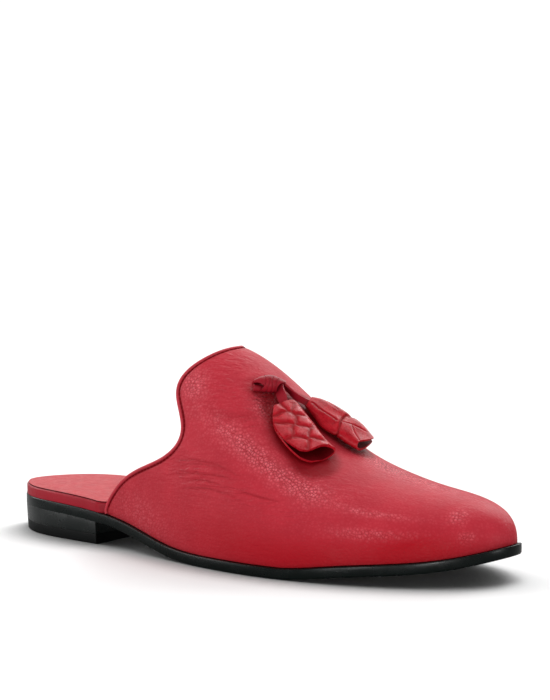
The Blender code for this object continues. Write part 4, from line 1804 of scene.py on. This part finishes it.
@dataclass
class Leather:
    """Sheet of even thickness through a net of strands, with cut edges all round."""

    strands: Sequence[Strand]
    thickness: float = 1.1
    rows: int = 120
    columns: int = 190
    upper_share: float = 1.0
    creases: Sequence[Crease] = ()
    scales: Sequence[tuple[float, float]] = ()
    scale_depth: float = 0.14
    scale_dome: float = 0.6
    scale_highlight: float = 0.15
    scale_middle: float = 1.7
    scale_groove_shade: float = 0.5
    groove_width: float = 0.5
    groove_round: float = 0.35
    dome_reach: float = 2.2
    fade: tuple[float, float] = (-0.04, 0.01)
    rim: float = 0.22

    def scaled(self, down: Array, across: Array) -> tuple[Array, Array, Array]:
        """Domed scales with soft grooves between them, painted shade in the grooves and a painted
        highlight at each middle.

        Args:
            down: How far down the sheet each place lies.
            across: How far across it each place lies.

        Returns:
            Height, its painted shade and its painted highlight.
        """
        bent_down = down + SWAY_DOWN.push(across) + QUIVER_DOWN.push(down)
        bent_across = across + SWAY_ACROSS.push(down) + QUIVER_ACROSS.push(across)
        spread = np.stack([np.hypot(bent_down - x, bent_across - y) for x, y in self.scales])
        order = np.argsort(spread, axis=0)[:2]
        near, second = np.take_along_axis(spread, order, 0)
        centres = np.array(self.scales)[order]
        apart = np.linalg.norm(centres[0] - centres[1], axis=-1)
        border = np.hypot((second**2 - near**2) / (2 * apart), self.groove_round)
        border = border - self.groove_round
        groove = np.exp(-((border / self.groove_width) ** 2))
        dome = 1 - np.clip(border / self.dome_reach - 1, -1, 0) ** 2
        pale = self.scale_highlight * np.exp(-((near / self.scale_middle) ** 2))
        return self.scale_dome * dome - self.scale_depth * groove, self.scale_groove_shade * groove, pale

    def relief(self, grid: Array) -> tuple[Array, Array, Array]:
        """Scales and creases on the outside, with painted shade in grooves and creases and painted
        highlights on the scales.

        Args:
            grid: Places of the sheet in millimetres.

        Returns:
            Height, how dark it is and how pale it is.
        """
        flat = grid[..., :2]
        height, dark, pale = np.zeros((3, *flat.shape[:2]))
        if self.scales:
            height, dark, pale = self.scaled(flat[..., 0], flat[..., 1])
        for crease in self.creases:
            places = np.array(crease.places)
            gaps = [line_gap(flat, *ends)[0] for ends in zip(places[:-1], places[1:])]
            shape = np.exp(-((np.min(gaps, 0) / crease.width) ** 2))
            height = height - crease.depth * shape
            # Painted shade in the crease.
            dark = np.maximum(dark, min(1.0, crease.depth) * shape)
        share = np.linspace(0, 1, grid.shape[1])[None, :]
        start, end = self.fade
        upper = 1 - ease(share, self.upper_share + start, self.upper_share + end)
        return height * upper, dark * upper, pale * upper

    def add(self, skin: Skin, setting: Setting, flip: bool = False) -> None:
        """Add the sheet to a skin: slot 0 outside and on the cut edges, slot 1 inside.

        Args:
            skin: Skin that takes the faces.
            setting: Where the sheet sits.
            flip: True where the outside lies on the other side of the net.
        """
        grid = net(self.strands, self.rows, self.columns)
        normals = unit(np.cross(np.gradient(grid, axis=0), np.gradient(grid, axis=1)))
        off = -normals if flip else normals
        height, dark, pale = self.relief(grid)
        half = self.thickness / 2
        face = setting.place(grid + off * (half + height[..., None]))
        outer = skin.sheet(face, flip, 0, shade=dark, pale=pale)
        inner = skin.sheet(setting.place(grid - off * half), not flip, 1)
        ring = outline_of(grid)
        inside = np.concatenate([grid[1], grid[1:, -2], grid[-2, -2::-1], grid[-2::-1, 1]])
        edge = ring + unit(ring - np.resize(inside, ring.shape)) * self.rim * self.thickness
        edge[-1] = edge[0]
        rim = skin.add(setting.place(edge))
        for pair in ((outline_of(outer), rim), (rim, outline_of(inner))):
            skin.quads(np.stack(pair), flip)


@dataclass
class Tassels:
    """Knot of strap on the vamp, with a scaled leaf on each of its two thongs."""

    last: Last
    knot_lift: float = 3.53 * MM

    def leaf(self, name: str, seats: tuple[Seat, Seat], sheet: Leather, flip: bool = False) -> None:
        """One folded leaf.

        Args:
            name: Side of the shoe that it hangs on.
            seats: Places under its head and its tail.
            sheet: Its leather.
            flip: True where the outside lies on the other side of its net.
        """
        (head, first), (tail, second) = [self.last.seat(*row) for row in seats]
        setting = Setting.facing(head, tail - head, (first + second) / 2)
        skin = Skin()
        sheet.add(skin, setting, flip)
        made = skin.piece(name + "_leaf", (LEAF_LEATHER, SHADED_LEAF_BACK))
        wear(made, Slot.SCALED, name + "_tassel_leaf")

    def leaves(self) -> None:
        """Both folded leaves."""
        outer = Leather(OUTER_LEAF, upper_share=0.44, scales=OUTER_SCALES)
        inner = Leather(INNER_LEAF, upper_share=0.62, creases=INNER_CREASES)
        self.leaf("outer", OUTER_SEATS, outer)
        self.leaf("inner", INNER_SEATS, inner, flip=True)

    def knot(self) -> None:
        """Rolled strap with a collar wrapped round it, and the thongs that leave it."""
        outer_end, inner_end = [self.last.seat(*row)[0] for row in KNOT_SEATS]
        middle = [sum(values) / 2 for values in zip(*KNOT_SEATS)]
        centre, off = self.last.seat(middle[0], middle[1], self.knot_lift)
        setting = Setting.facing(centre, inner_end - outer_end, off)
        roll = (
            Leather(COLLAR, thickness=1.0, rows=60, columns=110, creases=COLLAR_CREASES),
            Leather(HOOD, thickness=1.0, rows=40, columns=60),
            Leather(CURL, thickness=0.8, rows=30, columns=90),
        )
        thong = {"thickness": 1.0, "rows": 50, "columns": 16}
        for name, node, sheets in (
            ("knot", "tassel_knot", roll),
            ("outer_thong", "outer_tassel_thong", (Leather(OUTER_THONG, **thong),)),
            ("inner_thong", "inner_tassel_thong", (Leather(INNER_THONG, **thong),)),
        ):
            skin = Skin()
            for sheet in sheets:
                sheet.add(skin, setting)
            wear(skin.piece(name, (STRAP_LEATHER, STRAP_LEATHER)), Slot.SMOOTH, node)


# ---------------------------------------------------------------- studio


class Lamp(NamedTuple):
    """Soft light: direction it comes from, round from +X and up, in degrees."""

    name: str
    turn: float
    lift: float
    strength: float
    spread: float = 40.0


LAMPS = (
    Lamp("toe_low", 0, 3, 0.85, 16),
    Lamp("heel_low", 220, 6, 0.70, 24),
    Lamp("outer_low", 270, 3, 0.95, 16),
    Lamp("front_low", 306, 3, 1.30, 16),
    Lamp("inner_side", 90, 30, 1.50),
    Lamp("inner_back", 135, 30, 0.70),
    Lamp("heel_side", 180, 30, 1.35),
    Lamp("inner_high", 90, 60, 1.20),
    Lamp("overhead", 0, 89, 0.45),
)


@dataclass
class Studio:
    """Pale floor, soft light and the camera."""

    target: Colour = (0.01512, 0.00252, 0.09199)
    azimuth: float = 36.36
    elevation: float = 4.85
    roll: float = -0.198
    distance: float = 0.8895
    lens: float = 102.85
    sensor: float = 36.0
    clip: tuple[float, float] = (0.05, 60.0)
    fill: float = 0.18
    backdrop: float = 1.1
    floor_size: float = 40.0
    floor_tone: float = 0.93
    floor_bounce: float = 0.3
    shadow_samples: int = 8
    shadow_reach: float = 24 * MM
    shadow_power: float = 1.1
    shadow_lean: Colour = (-0.4, 0.59, 0.7)
    shadow_open: float = 0.8

    def floor(self) -> None:
        """Wide pale floor that runs out of sight."""
        half = self.floor_size / 2
        mesh = bpy.data.meshes.new("floor")
        corners = [(-half, -half, 0), (half, -half, 0), (half, half, 0), (-half, half, 0)]
        mesh.from_pydata(corners, [], [(0, 1, 2, 3)])
        mesh.materials.append(self.floor_material())
        shown("floor", mesh)

    def floor_material(self) -> bpy.types.Material:
        """Matt white with a painted shadow, darker under the shoe, that throws little light back
        up.

        Returns:
            The material.
        """
        material, graph = new_material("pale_floor")
        graph.tree.nodes.remove(graph.tree.nodes["Principled BSDF"])
        # Painted shadow: darker where the shoe closes in the floor within reach, more so on the
        # side the hemisphere leans from.
        lean = graph.node("CombineXYZ", dict(enumerate(self.shadow_lean)))
        near = {"Distance": self.shadow_reach, "Normal": lean.outputs[0]}
        contact = graph.node("AmbientOcclusion", near, samples=self.shadow_samples)
        open_share = {"Value": contact.outputs["AO"], "From Max": self.shadow_open}
        share = graph.node("MapRange", open_share).outputs[0]
        share = graph.math("POWER", share, self.shadow_power)
        tone = graph.blend(share, (0.0,) * 3, (self.floor_tone,) * 3)
        seen = graph.node("BsdfDiffuse", {"Color": tone})
        bounce = graph.node("BsdfDiffuse", {"Color": (self.floor_bounce,) * 3})
        graph.by_ray(bounce, seen, "Material Output")
        return material

    def world(self) -> None:
        """Dim surroundings, seen by the camera as a white backdrop."""
        world = bpy.data.worlds.new("white_studio")
        world.use_nodes = True
        graph = Graph(world.node_tree)
        dim = graph.tree.nodes["Background"]
        graph.fill(dim, {"Color": WHITE, "Strength": self.fill})
        backdrop = graph.node("Background", {"Color": WHITE, "Strength": self.backdrop})
        graph.by_ray(dim, backdrop, "World Output")
        bpy.context.scene.world = world

    def sky(self, lamp: Lamp) -> None:
        """Wide soft light from one direction, even over the whole floor.

        Args:
            lamp: Row of the table of lamps.
        """
        turn, lift = radians(lamp.turn), radians(lamp.lift)
        direction = Vector((cos(turn) * cos(lift), sin(turn) * cos(lift), sin(lift)))
        data = bpy.data.lights.new(lamp.name, "SUN")
        data.energy = lamp.strength
        data.angle = radians(lamp.spread)
        made = shown(lamp.name, data)
        made.rotation_mode = "QUATERNION"
        made.rotation_quaternion = direction.to_track_quat("Z", "Y")

    def camera(self) -> None:
        """Long lens near the floor, looking at the shoe's outer side."""
        turn, lift = radians(self.azimuth), radians(self.elevation)
        back = Vector((sin(turn) * cos(lift), -cos(turn) * cos(lift), sin(lift)))
        data = bpy.data.cameras.new("camera")
        data.lens = self.lens
        data.sensor_width = self.sensor
        data.clip_start, data.clip_end = self.clip
        made = shown("camera", data)
        made.location = Vector(self.target) + back * self.distance
        made.rotation_mode = "QUATERNION"
        roll = Quaternion((0, 0, 1), radians(self.roll))
        made.rotation_quaternion = (-back).to_track_quat("-Z", "Y") @ roll
        bpy.context.scene.camera = made

    def build(self) -> None:
        """Set the stage."""
        self.floor()
        self.world()
        for lamp in LAMPS:
            self.sky(lamp)
        self.camera()
        bpy.context.scene.view_settings.view_transform = "Standard"


def main() -> None:
    """Build the shoe piece by piece, then the studio around it."""
    logging.basicConfig(level=logging.INFO, format="%(name)s: %(message)s")
    last = Last()
    bottom = Bottom(last)
    bottom.outsole()
    bottom.heel()
    Insole(last).build()
    upper = Upper(last)
    upper.vamp()
    upper.binding()
    upper.stitches()
    tassels = Tassels(last)
    tassels.knot()
    tassels.leaves()
    Studio().build()


if __name__ == "__main__":
    main()
